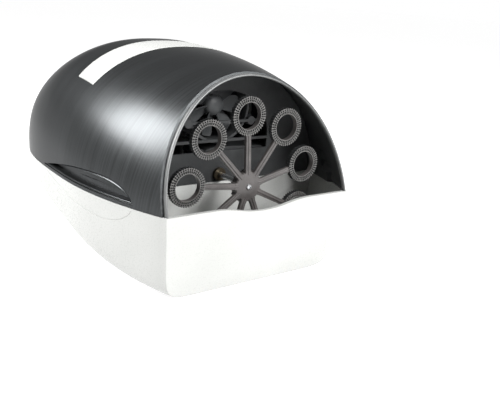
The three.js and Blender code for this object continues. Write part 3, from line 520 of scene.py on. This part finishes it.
# ---------------------------------------------------------------- hood
def body_stations(count, front_fine):
    """Stations along the body, closer together at the mouth and at the tail."""
    s = np.linspace(0, 1, count)
    t = s - 0.12 * np.sin(2 * np.pi * s) / (2 * np.pi) * front_fine
    tail = 1 - (1 - t) ** 1.35
    return tail / tail[-1]


def arc_rows(count):
    return np.linspace(0, np.pi, count)


def solid_form(surface, t, angle, inset=0.0, ahead=0.0, past=0.0):
    """Closed solid under a half-round skin. `ahead` moves the front cap forward and `past` the flat side."""
    skin = surface(t[:, None], angle[None, :], inset)
    tip = skin[-1].copy()
    tip[:] = tip.mean(0)
    skin[-1] = tip
    first, last = skin[:, :1].copy(), skin[:, -1:].copy()
    if past:
        first[..., 2] += past
        last[..., 2] += past
        skin = np.concatenate([first, skin, last], 1)
    if ahead:
        front = skin[:1].copy()
        front[..., 1] -= ahead
        skin = np.concatenate([front, skin], 0)
    return skin


def form_object(name, skin):
    return mesh_object(name, *tube(skin))


def hood_piece():
    t = body_stations(92, 1.0)
    angle = arc_rows(97)
    outer = form_object("hood", solid_form(hood_at, t, angle))

    def inner_at(stations, turn, _inset):
        plain = hood_at(stations, turn, WALL)
        bulge = recess_bulge(plain[..., 1], plain[..., 2])
        over = (ease(plain[..., 1], HANDLE["front"] - 6, HANDLE["front"] - 2)
                * (1 - ease(plain[..., 1], 151, 156)) * (1 - ease(np.abs(plain[..., 0]), 82, 86)))
        return hood_at(stations, turn, WALL + np.maximum(bulge, CHANNEL_DEPTH * over))

    cavity = form_object("cavity", solid_form(inner_at, body_stations(70, 1.0), arc_rows(73), 0.0, 8.0, -6.0))
    cut(outer, cavity)
    pocket = seat_box("pocket", 8.3, 12.3, -2.0, 12.0)
    cutters = [leaf_cutter(-1), leaf_cutter(1), channel_cutter(), pocket]
    cut(outer, joined("cutters", cutters))
    through = seat_box("through", 6.6, 10.3, -14.0, 1.0)
    mouth = mouth_slab(-1.5, -3.0, 3.3)
    slots = [box("slot", x - 2.1, x + 2.1, 117.4, 135.6, 92, 150) for x in LEGS]
    cut(outer, joined("cutters", [through, mouth, *slots]))
    return outer


def seat_matrix():
    return Matrix.Translation(Vector(to_frame(SEAT_AT))) @ Matrix.Rotation(SEAT_TILT, 4, "X")


def on_seat(piece):
    """Moves a piece made round the origin of this script's coordinates onto the switch seat."""
    piece.data.transform(seat_matrix() @ Matrix.Translation(-Vector(to_frame((0, 0, 0)))))
    return piece


def seat_box(name, half_x, half_y, z0, z1):
    return on_seat(box(name, -half_x, half_x, -half_y, half_y, z0, z1))


def mouth_slab(inset, start, end):
    """Solid behind the outline of the mouth, between two distances back from it."""
    angle = arc_rows(121)
    ring = hood_at(np.zeros(121), angle, inset)
    ring = np.vstack([ring[:1] - [0, 0, 4], ring, ring[-1:] - [0, 0, 4]])
    rings = [ring + [0, shift, 0] for shift in (start, end)]
    return mesh_object("slab", *tube(rings))


def plan_grid(grow, across=81, along=11):
    half = HANDLE["half"] + grow
    x = np.linspace(-half, half, across)
    rear = HANDLE["rear"] + HANDLE["bow"] * np.clip(1 - (x / HANDLE["half"]) ** 2, 0, 1) + grow
    s = np.linspace(0, 1, along)
    front = HANDLE["front"] - grow
    y = front + (rear[:, None] - front) * s[None, :]
    return np.broadcast_to(x[:, None], y.shape), y


def plan_solid(name, grow, top, bottom, across=81, along=11):
    """Upright solid over the handle's outline between two offsets of the hood's surface."""
    x, y = plan_grid(grow, across, along)
    upper = np.stack([x, y, top_z(x, y, top)], -1)
    lower = np.stack([x, y, top_z(x, y, bottom)], -1)
    points = np.concatenate([upper.reshape(-1, 3), lower.reshape(-1, 3)])
    count = across * along
    faces = grid_faces(across, along)
    faces += [tuple(count + i for i in f) for f in grid_faces(across, along)]
    rim = [(i, 0) for i in range(across)] + [(across - 1, j) for j in range(1, along)]
    rim += [(i, along - 1) for i in range(across - 2, -1, -1)] + [(0, j) for j in range(along - 2, 0, -1)]
    loop = [i * along + j for i, j in rim]
    faces += [(a, b, count + b, count + a) for a, b in zip(loop, loop[1:] + loop[:1])]
    return mesh_object(name, points, faces)


def channel_cutter():
    return plan_solid("channel", GAP, -3.0, CHANNEL_DEPTH)


def handle_piece():
    grip = plan_solid("carry_grip", 0.0, -0.15, 3.6, 121, 15)
    bevelled(grip, 0.45, 3, 50)
    baked(grip)
    parts = [grip]
    for x in LEGS:
        top = float(top_z(np.array([x + 1.5]), np.array([126.5]), 2.4)[0])
        leg = box("leg", x - 1.5, x + 1.5, 118, 135, 96.5, top)
        bevelled(leg, 0.5, 2)
        ankle = box("ankle", x - 3, x + 3, 116, 137, 96.5, 101.5)
        bevelled(ankle, 0.8, 3)
        parts += [baked(leg), baked(ankle)]
    return joined("carry_grip", parts)


def trim_piece():
    """Rounded silver bead round the mouth."""
    profile = [(0.6, 3.0), (0.5, 1.6), (0.62, 0.9), (0.95, 0.36), (1.45, 0.1), (1.9, 0.26), (2.2, 0.72),
               (2.36, 1.5), (2.4, 3.0)]
    angle = arc_rows(161)
    rings = []
    for inset, back in profile:
        rings.append(hood_at(np.zeros(161), angle, inset) + [0, back, 0])
    rings = np.stack(rings, 1)
    return mesh_object("mouth_bead", *tube(rings))


def line_inside(piece, look):
    """Gives the hood's inner faces the bare plastic look."""
    mesh = piece.data
    mesh.materials.append(look)
    centre = np.empty(len(mesh.polygons) * 3)
    mesh.polygons.foreach_get("center", centre)
    x, y, z = (centre.reshape(-1, 3) * 1000).T
    y = y + LENGTH / 2
    sunk = np.minimum(side_x(y, z, 0.0) - np.abs(x), top_z(x, y, 0.0) - z)
    behind = np.where(leaf_depth(y, z) > -2.5, 5.6, 1.7)
    mesh.polygons.foreach_set("material_index", (sunk > behind).astype(np.int32))
    mesh.update()


hood = settle(smooth(hood_piece(), 30), "case", "charcoal_plastic", "hood_shell")
line_inside(hood, LOOKS["dark_plastic"])
settle(smooth(trim_piece(), 50), "case", "silver_trim", "rim_trim")
settle(smooth(handle_piece(), 40), "handle", "white_plastic", "carry_handle")


# ---------------------------------------------------------------- base
def base_angles():
    """Angles under the base, closer together round its lower corners."""
    steps = [np.arange(0, 34, 2.5), np.arange(35, 56, 1.0), np.arange(58, 90, 2.5)]
    quarter = np.radians(np.concatenate(steps))
    return np.concatenate([quarter, [np.pi / 2], np.pi - quarter[::-1]])


def base_skin(t, angle, inset, past=0.0, front_round=0.0):
    """Rings of the base's skin. `front_round` rounds the front edge and `past` lifts the flat side."""
    skin = base_at(t[:, None], angle[None, :], inset)
    skin[-1] = skin[-1].mean(0)
    if front_round:
        rounded = []
        for share in (0.0, 0.3, 0.6, 0.85):
            turn = share * np.pi / 2
            ring = base_at(np.zeros(len(angle)), angle, front_round * (1 - np.sin(turn)))
            ring[:, 1] = FRONT_DRAFT * (SPLIT - ring[:, 2]) + front_round * (1 - np.cos(turn))
            rounded.append(ring)
        skin[0, :, 1] = FRONT_DRAFT * (SPLIT - skin[0, :, 2]) + front_round
        keep = (t * LENGTH > front_round * 1.5) | (t == 0)
        skin = np.concatenate([np.array(rounded), skin[keep]], 0)
    if past:
        first, last = skin[:, :1].copy(), skin[:, -1:].copy()
        first[..., 2] += past
        last[..., 2] += past
        skin = np.concatenate([first, skin, last], 1)
    return skin


def dip_cutter():
    """Prism of the shallow dip in the front wall."""
    half, dip = 43.0, 5.0
    left = bezier((-half, 0), (-half * 0.55, 0), (-half * 0.45, -dip), (0, -dip), 24)
    right = bezier((0, -dip), (half * 0.45, -dip), (half * 0.55, 0), (half, 0), 24)
    line = np.vstack([left, right, [[half, 0], [half, 3], [-half, 3]]])
    rings = [np.stack([line[:, 0], np.full(len(line), y), SPLIT + line[:, 1]], -1) for y in (-3.0, 14.0)]
    return mesh_object("dip", *tube(rings))


def base_piece():
    angle = base_angles()
    outer = form_object("tank_base", base_skin(body_stations(92, 1.0), angle, 0.0, front_round=0.9))

    t = body_stations(80, 1.0)
    cavity = form_object("cavity", base_skin(t, angle, WALL, past=5.0))
    cut(outer, cavity)
    cutters = [leaf_groove(-1), leaf_groove(1), dip_cutter()]
    cutters.append(box("door", -51.5, 51.5, 109.5, 163.7, -1, 9.3))
    for i in range(VENTS):
        x = (i - VENTS // 2) * 9
        cutters.append(rounded_slot(x, 1.6, 190, 214, -1, 24))
    for x, y in POSTS:
        cutters.append(lathe("bore", [(0, -1), (3.7, -1), (3.7, 30), (0, 30)], (x, y, 0)))
    for x, y in FEET:
        cutters.append(lathe("bore", [(0, -1), (2.2, -1), (2.2, 12), (0, 12)], (x, y, 0), segments=24))
    return cut(outer, joined("cutters", cutters))


def rounded_slot(x, half, y0, y1, z0, z1):
    turn = np.linspace(0, np.pi, 13)
    front = np.stack([x - half * np.cos(turn), y0 + half - half * np.sin(turn)], -1)
    rear = np.stack([x + half * np.cos(turn), y1 - half + half * np.sin(turn)], -1)
    line = np.vstack([front, rear])
    rings = [np.column_stack([line, np.full(len(line), z)]) for z in (z0, z1)]
    return mesh_object("slot", *tube(rings))


def bulkhead_piece():
    """White wall between the tank and the machine room."""
    angle = base_angles()
    rings = []
    for y in (60.0, 62.5):
        ring = base_at(np.full(len(angle), y / LENGTH), angle, WALL)
        down = SPLIT - ring[:, 2]
        t = np.clip((y - FRONT_DRAFT * down) / (LENGTH - FRONT_DRAFT * down), 0, 1)
        ring = base_at(t, angle, WALL - 0.8)
        ring[:, 1] = y
        rings.append(ring)
    wall = mesh_object("tank_bulkhead", *tube(rings))
    bevelled(wall, 0.35, 2)
    return baked(wall)


def underside(x, y):
    """Height of the base's outer face over a place in plan."""
    down = 0.97 * KEEL["largest"]
    t = (y - FRONT_DRAFT * down * (1 - y / LENGTH)) / LENGTH
    power = base_power(t)
    share = abs(x) / (swell(t, **PLAN) * (1 - SIDE_DRAFT * down))
    return float(SPLIT - swell(t, **KEEL) * (1 - share**power) ** (1 / power))


def pad_piece(i, x, y):
    """Boss that a foot is pushed into, from the foot up to the wall."""
    top = underside(abs(x) + 5, y + 5) + 1.2
    profile = [(2.2, 2.0), (8.4, 2.0), (8.8, 2.15), (9.0, 2.6), (9.0, top), (2.2, top)]
    return lathe(f"foot_pad_{i}", profile, (x, y, 0))


def post_piece(i, x, y):
    """Screw post, from inside the wall up to the split."""
    bottom = underside(abs(x) + 4.6, y + 4.6) + 0.8
    profile = [(3.7, bottom), (3.7, 55.5), (1.9, 55.5), (1.9, 64.45), (5.4, 64.45), (5.4, bottom)]
    return lathe(f"base_post_{i}", profile, (x, y, 0))


settle(smooth(base_piece(), 30), "case", "white_plastic", "base_shell")
for i, (x, y) in enumerate(FEET[2:]):
    settle(smooth(pad_piece(i + 3, x, y)), "case", "white_plastic")
settle(smooth(bulkhead_piece()), "case", "white_plastic")
for i, (x, y) in enumerate(POSTS):
    settle(smooth(post_piece(i + 1, x, y)), "case", "white_plastic")


# ---------------------------------------------------------------- wand wheel
def turned_about(points, angle, z):
    """Turns points made along +x by an angle in the x-z plane, then lifts them to the hub."""
    points = np.asarray(points, float)
    c, s = math.cos(angle), math.sin(angle)
    x, y, up = points.T
    return np.stack([x * c - up * s, y, x * s + up * c + z], -1)


def band(inner, outer, y0, y1, centre_x, segments=56, edge=0.3):
    """Points and faces of a flat ring about an axis along y."""
    profile = [(inner, y0 + edge), (inner + edge, y0), (outer - edge, y0), (outer, y0 + edge),
               (outer, y1 - edge), (outer - edge, y1), (inner + edge, y1), (inner, y1 - edge)]
    angle = 2 * np.pi * np.arange(segments) / segments
    points = [(centre_x + r * math.cos(a), y, r * math.sin(a)) for r, y in profile for a in angle]
    count = len(profile)
    faces = []
    for i in range(count):
        for j in range(segments):
            k, n = (j + 1) % segments, (i + 1) % count
            faces.append((i * segments + j, i * segments + k, n * segments + k, n * segments + j))
    return points, faces


def wand_parts():
    """One arm with its wand, along +x from the hub: a ring with two rows of ribs in front and behind."""
    y, half = WHEEL["y"], WHEEL["half"]
    inner, outer, pitch = WHEEL["inner"], WHEEL["outer"], WHEEL["pitch"]
    middle = (inner + outer) / 2
    parts = [band(inner, inner + 0.55, y - half, y + half, pitch, edge=0.15),
             band(inner + 0.4, outer - 0.9, y - 0.45, y + 0.45, pitch, edge=0.1),
             band(middle - 0.15, middle + 0.2, y - half + 0.2, y + half - 0.2, pitch, edge=0.1),
             band(outer - 0.9, outer - 0.55, y - half + 0.2, y + half - 0.2, pitch, edge=0.1)]
    for i in range(WHEEL["ribs"]):
        angle = 2 * math.pi * (i + 0.5) / WHEEL["ribs"]
        c, s = math.cos(angle), math.sin(angle)
        for start, end, wide in ((inner + 0.3, middle, 0.2), (middle + 0.1, outer, 0.27)):
            points, faces = box_points(start, end, y - half, y + half, -wide, wide)
            spun = [(pitch + px * c - pz * s, py, px * s + pz * c) for px, py, pz in points]
            parts.append((spun, faces))
    reach = pitch - outer + 1.2
    arm = [(9.0, 2.35), (reach - 4, 2.05), (reach, 2.3)]
    for (x0, w0), (x1, w1) in zip(arm, arm[1:]):
        parts.append(wedge(x0, x1, w0, w1, y - 1.3, y + 1.3))
    parts.append(wedge(9.0, reach, 0.8, 0.6, y - 1.9, y - 1.0))
    return parts


def wedge(x0, x1, half0, half1, y0, y1):
    """Bar along x whose half width goes from one value to the other, with its front edges chamfered."""
    chamfer = 0.35
    rings = []
    for x, half in ((x0, half0), (x1, half1)):
        rings.append([(x, y1, -half), (x, y1, half), (x, y0 + chamfer, half), (x, y0, half - chamfer),
                      (x, y0, chamfer - half), (x, y0 + chamfer, -half)])
    points = [p for ring in rings for p in ring]
    faces = grid_faces(2, 6, close=True) + [tuple(range(5, -1, -1)), tuple(range(6, 12))]
    return points, faces


def wheel_piece():
    z, y = WHEEL["z"], WHEEL["y"]
    parts = []
    for i in range(WHEEL["arms"]):
        angle = math.radians(WHEEL["first"] + ARM_STEP * i)
        for points, faces in wand_parts():
            parts.append((turned_about(points, angle, z), faces))
        points, faces = wedge(6.0, 12.2, 3.3, 2.4, y - 1.5, y + 4.0)
        parts.append((turned_about(points, angle, z), faces))
    wheel = mesh_object("wand_wheel_detail", *gather(parts))
    front = y - WHEEL["hub_proud"]
    profile = [(0, 0.5), (1.5, 0.5), (1.5, 0.1), (3.0, 0), (9.2, 0.05), (10.5, 0.4), (11.1, 1.2), (11.2, 6.2),
               (10.6, 7), (4.8, 7), (4.8, 6.2), (0, 6.2)]
    disc = lathe("disc", [(radius, front + back) for radius, back in profile], (0, 0, z), "y", 72)
    return joined("wand_wheel_detail", [wheel, disc])


def pan_screw(name, centre, head, axis="y", facing=-1):
    """Pan-head screw with a cross recess; its head faces -y, or +y where facing is 1."""
    high = head * 0.62
    profile = [(0, 1), (0.35, 0.98), (0.75, 0.82), (0.96, 0.45), (1, 0.1), (0.97, 0), (0, 0)]
    screw = lathe(name, [(head * r, facing * high * v) for r, v in profile], centre, axis, 40)
    arms = []
    for wide, tall in ((head * 0.55, head * 0.11), (head * 0.11, head * 0.55)):
        near, far = sorted((facing * high * 1.2, facing * high * 0.45))
        if axis == "y":
            limits = (-wide, wide, near, far, -tall, tall)
        else:
            limits = (-wide, wide, -tall, tall, near, far)
        points, faces = box_points(*limits)
        arms.append(mesh_object("cross", np.asarray(points) + np.asarray(centre, float), faces))
    cut(screw, arms[0])
    return cut(screw, arms[1])


def shade_rings(piece):
    """Paints light and shade onto the wand rings: proud rib tops get a lighter material as a painted highlight,
    and the sunken web between the rib rows gets the dark plastic as painted shade.
    """
    mesh = piece.data
    # Slot 1 is dark plastic used as painted shade in the hollows; slot 2 is the lighter painted rib highlight.
    mesh.materials.append(LOOKS["dark_plastic"])
    mesh.materials.append(PAINTED_RIB_HIGHLIGHT)
    middle = np.empty(len(mesh.polygons) * 3)
    mesh.polygons.foreach_get("center", middle)
    x, y, z = (middle.reshape(-1, 3) * 1000).T
    y = y + LENGTH / 2 - WHEEL["y"]
    z = z - WHEEL["z"]
    step = math.radians(ARM_STEP)
    turn = np.arctan2(z, x) - math.radians(WHEEL["first"])
    turn = turn - np.round(turn / step) * step
    out = np.hypot(x, z)
    ring = np.hypot(out * np.cos(turn) - WHEEL["pitch"], out * np.sin(turn))
    on_ring = (ring > WHEEL["inner"] + 0.1) & (ring < WHEEL["outer"] + 0.2)
    # Faces near the ring's mid-plane take painted shade; faces at the ring's front and back take a painted
    # highlight.
    deep = np.abs(y) < WHEEL["half"] * 0.45
    proud = np.abs(y) > WHEEL["half"] - 0.3
    mesh.polygons.foreach_set("material_index", np.where(on_ring & deep, 1, np.where(on_ring & proud, 2, 0)))
    mesh.update()


# Lighter plastic that paints a highlight onto the rib tops.
PAINTED_RIB_HIGHLIGHT = finish_surface("painted_rib_highlight", (0.085, 0.083, 0.08), (0.15, 0.147, 0.142), (0.25, 0.36),
                             patch=300, grain=1600, depth=6e-6)
wheel = settle(smooth(wheel_piece(), 28), "wheel", "wheel_plastic", "wand_wheel")
shade_rings(wheel)
screw_seat = (0, WHEEL["y"] - WHEEL["hub_proud"] + 0.35, WHEEL["z"])
settle(smooth(pan_screw("hub_screw_head", screw_seat, 2.4)), "wheel", "steel", "hub_screw")


# ---------------------------------------------------------------- fan
def impeller_piece():
    """Seven cambered blades on a domed hub."""
    front, depth, z, root, tip = (FAN[key] for key in ("front", "depth", "z", "root", "tip"))
    parts = []
    rows, cols = 13, 11
    for k in range(FAN["blades"]):
        turn = 2 * math.pi * k / FAN["blades"]
        sides = []
        for skin in (-0.5, 0.5):
            points = []
            for i in range(rows):
                r = root + (tip - root) * i / (rows - 1)
                pitch = math.radians(50 - 22 * i / (rows - 1))
                chord = 9.5 + 5.5 * math.sin(math.pi * min(1.0, i / (rows - 1) * 0.62))
                if i == rows - 1:
                    chord *= 0.8
                for j in range(cols):
                    s = j / (cols - 1) - 0.5
                    camber = 1.3 * (1 - 4 * s * s)
                    thick = skin * (1.25 - 1.6 * s * s)
                    along, lift = s * chord, camber + thick
                    around = (along * math.cos(pitch) - lift * math.sin(pitch)) / r
                    back = front + depth / 2 + along * math.sin(pitch) * 0.8 + lift * math.cos(pitch)
                    points.append((r * math.cos(turn + around), back, z + r * math.sin(turn + around)))
            sides.append(points)
        count = rows * cols
        points = sides[0] + sides[1]
        faces = grid_faces(rows, cols) + [tuple(count + i for i in f) for f in grid_faces(rows, cols)]
        rim = [i * cols for i in range(rows)] + [(rows - 1) * cols + j for j in range(1, cols)]
        rim += [i * cols + cols - 1 for i in range(rows - 2, -1, -1)] + [j for j in range(cols - 2, 0, -1)]
        faces += [(a, b, count + b, count + a) for a, b in zip(rim, rim[1:] + rim[:1])]
        parts.append((points, faces))
    blades = mesh_object("impeller_blades", *gather(parts))
    hub = lathe("hub", [(0, front - 0.2), (3, front), (6, front + 0.9), (7.6, front + 2.4), (8, front + 4),
                        (8, front + depth), (1.4, front + depth), (1.4, front + 3), (0, front + 3)],
                (0, 0, z), "y", 48)
    return joined("impeller_blades", [blades, hub])


settle(smooth(impeller_piece(), 35), "fan_rotor", "grey_plastic", "fan_impeller")


# ---------------------------------------------------------------- feet, door, switch and screws
FOOT_PROFILE = [(0, 0.35), (4.2, 0.35), (4.5, 0.0), (6.1, 0.0), (6.7, 0.25), (7.0, 0.8), (7.0, 1.7), (1.7, 1.7),
                (1.7, 6.0), (0, 6.0)]
for i, (x, y) in enumerate(FEET):
    foot = lathe(f"rubber_foot_{i + 1}", FOOT_PROFILE, (x, y, 0))
    settle(smooth(foot), "case", "rubber", f"foot_{i + 1}")


def door_piece():
    """Battery door with a thumb notch, an arrow of grooves and its hinge barrel."""
    panel = box("cell_door", -51, 51, 110, DOOR_HINGE_Y, 3.3, 5.4)
    notch = lathe("notch", [(0, 2), (9, 2), (9, 4.2), (0, 4.2)], (0, 108.5, 0), segments=48)
    cut(panel, notch)
    for row in range(5):
        groove = box("groove", -14 + row * 1.6, 14 - row * 1.6, 122 + row * 3.2, 123.2 + row * 3.2, 3.0, 3.75)
        cut(panel, groove)
    bevelled(panel, 0.35, 2)
    baked(panel)
    barrel = lathe("barrel", [(0, -51), (0.85, -51), (1.05, -50.8), (1.05, 50.8), (0.85, 51), (0, 51)],
                   (0, DOOR_HINGE_Y, 4.35), "x", 24)
    return joined("cell_door", [panel, barrel])


settle(smooth(door_piece(), 40), "door", "white_plastic", "battery_door")


def switch_piece():
    flange = box("switch_bezel", -8, 8, -12, 12, -1.7, -0.1)
    body = box("body", -6.3, 6.3, -10, 10, -16, -1.2)
    cut(flange, body, "UNION")
    cut(flange, box("well", -5.2, 5.2, -8.9, 8.9, -12, 8))
    bevelled(flange, 0.5, 3, 50)
    return on_seat(baked(flange))


def rocker_piece():
    top = [(8.2 - 16.4 * s, 0.8 + 2.8 * (2 * s - 1) ** 2) for s in np.linspace(0, 1, 17)]
    line = [(-8.2, -1.2), (-5, -6), (5, -6), (8.2, -1.2), *top]
    rings = [[(x, y, z) for y, z in line] for x in (-4.7, 4.7)]
    rocker = mesh_object("rocker_key", *tube(rings))
    bevelled(rocker, 0.45, 3, 35)
    baked(rocker)
    ridges = [box("ridge", -3.2, 3.2, y - 0.3, y + 0.3, 1.2, height) for y, height in
              ((-6.6, 3.25), (-5.4, 2.65), (5.4, 2.65), (6.6, 3.25))]
    whole = joined("rocker_key", [rocker, *ridges])
    home = Vector(to_frame((0, 0, 0)))
    pivot = Matrix.Translation(home + Vector((0, 0, -0.0026)))
    tip = pivot @ Matrix.Rotation(math.radians(ROCKER_REST), 4, "X")
    whole.data.transform(tip @ Matrix.Translation(-home))
    return on_seat(whole)


settle(smooth(switch_piece()), "case", "dark_plastic", "switch_housing")
settle(smooth(rocker_piece()), "rocker", "charcoal_plastic", "power_rocker")

for i, (x, y) in enumerate(POSTS):
    head = pan_screw(f"case_screw_head_{i + 1}", (x, y, 55.2), 3.1, "z", -1)
    shank = lathe("shank", [(0, 55), (1.5, 55), (1.5, 74.6), (0.3, 75.5), (0, 75.5)], (x, y, 0), segments=20)
    settle(smooth(joined(f"case_screw_head_{i + 1}", [head, shank])), "case", "steel", f"case_screw_{i + 1}")

# ---------------------------------------------------------------- CAD nodes that stay
slot_of = {row["node"]: row["material_slot"] for row in frame["record"]["subparts"]}
CRISP = {"fan_baffle": 0.35, "fan_shroud": 0.4, "gearbox_front": 0.5, "gearbox_rear": 0.5, "battery_box": 0.5}
for name, cad in frame["nodes"].items():
    dress(cad, slot_of[name])
    if name in CRISP:
        bevelled(cad, CRISP[name], 2, 40)

# ---------------------------------------------------------------- stage, light and camera
floor_mesh = bpy.data.meshes.new("floor")
edge = 30.0
corners = [(-edge, -edge, 0), (edge, -edge, 0), (edge, edge, 0), (-edge, edge, 0)]
floor_mesh.from_pydata(corners, [], [(0, 1, 2, 3)])
floor = bpy.data.objects.new("floor", floor_mesh)
floor.location.z = -0.0001
bpy.context.scene.collection.objects.link(floor)
floor_look, tree, shader = material("floor_look", (0.32, 0.32, 0.32), 0.8)
shader.inputs["Emission Color"].default_value = (1, 1, 1, 1)
shader.inputs["Emission Strength"].default_value = 0.86
floor_mesh.materials.append(floor_look)

world = bpy.data.worlds.new("studio")
bpy.context.scene.world = world
world.use_nodes = True
sky = world.node_tree
direction = sky.nodes.new("ShaderNodeTexCoord")
axes = sky.nodes.new("ShaderNodeSeparateXYZ")
sky.links.new(direction.outputs["Generated"], axes.inputs["Vector"])
level = remap(sky, axes.outputs["Z"], 1.0, 0.3, 0.04, 0.24)
sky.links.new(level, sky.nodes["Background"].inputs["Strength"])
sky.nodes["Background"].inputs["Color"].default_value = (1, 1, 1, 1)
bpy.context.scene.view_settings.view_transform = "Standard"


def area_light(name, place, target, size, power):
    data = bpy.data.lights.new(name, "AREA")
    data.shape = "RECTANGLE"
    data.size, data.size_y = size
    data.energy = power
    lamp = bpy.data.objects.new(name, data)
    bpy.context.scene.collection.objects.link(lamp)
    lamp.location = place
    lamp.rotation_euler = (Vector(target) - Vector(place)).to_track_quat("-Z", "Y").to_euler()
    return lamp


def softbox(name, azimuth, elevation, distance, size, power, target=(0, 0, 0.06)):
    """An area light in a direction from its target, azimuth turning from the front to +x."""
    around, lift = math.radians(azimuth), math.radians(elevation)
    way = Vector((math.sin(around) * math.cos(lift), -math.cos(around) * math.cos(lift), math.sin(lift)))
    area_light(name, Vector(target) + way * distance, target, size, power)


softbox("left_softbox", -123, 39, 1.3, (0.55, 0.55), 30, (-0.05, -0.08, 0.1))
softbox("front_softbox", 16, 36, 1.5, (0.8, 0.8), 42)

AZ, EL, ROLL = math.radians(-37.6748), math.radians(17.4848), math.radians(4.3017)
DISTANCE, FOCAL = 552.955, 647.929
SENSOR, PICTURE_WIDTH = 36.0, 500
TARGET = np.array([47.942, 80.0, 34.236])
back = np.array([math.sin(AZ) * math.cos(EL), -math.cos(AZ) * math.cos(EL), math.sin(EL)])
right = np.cross(-back, [0, 0, 1])
right /= np.linalg.norm(right)
up = np.cross(right, -back)
right_rolled = math.cos(ROLL) * right + math.sin(ROLL) * up
up_rolled = -math.sin(ROLL) * right + math.cos(ROLL) * up
camera_data = bpy.data.cameras.new("camera")
camera_data.sensor_width = SENSOR
camera_data.lens = SENSOR * FOCAL / PICTURE_WIDTH
camera = bpy.data.objects.new("camera", camera_data)
bpy.context.scene.collection.objects.link(camera)
turn = Matrix((right_rolled, up_rolled, back)).transposed().to_4x4()
camera.matrix_world = Matrix.Translation(Vector(to_frame(TARGET + back * DISTANCE))) @ turn
bpy.context.scene.camera = camera
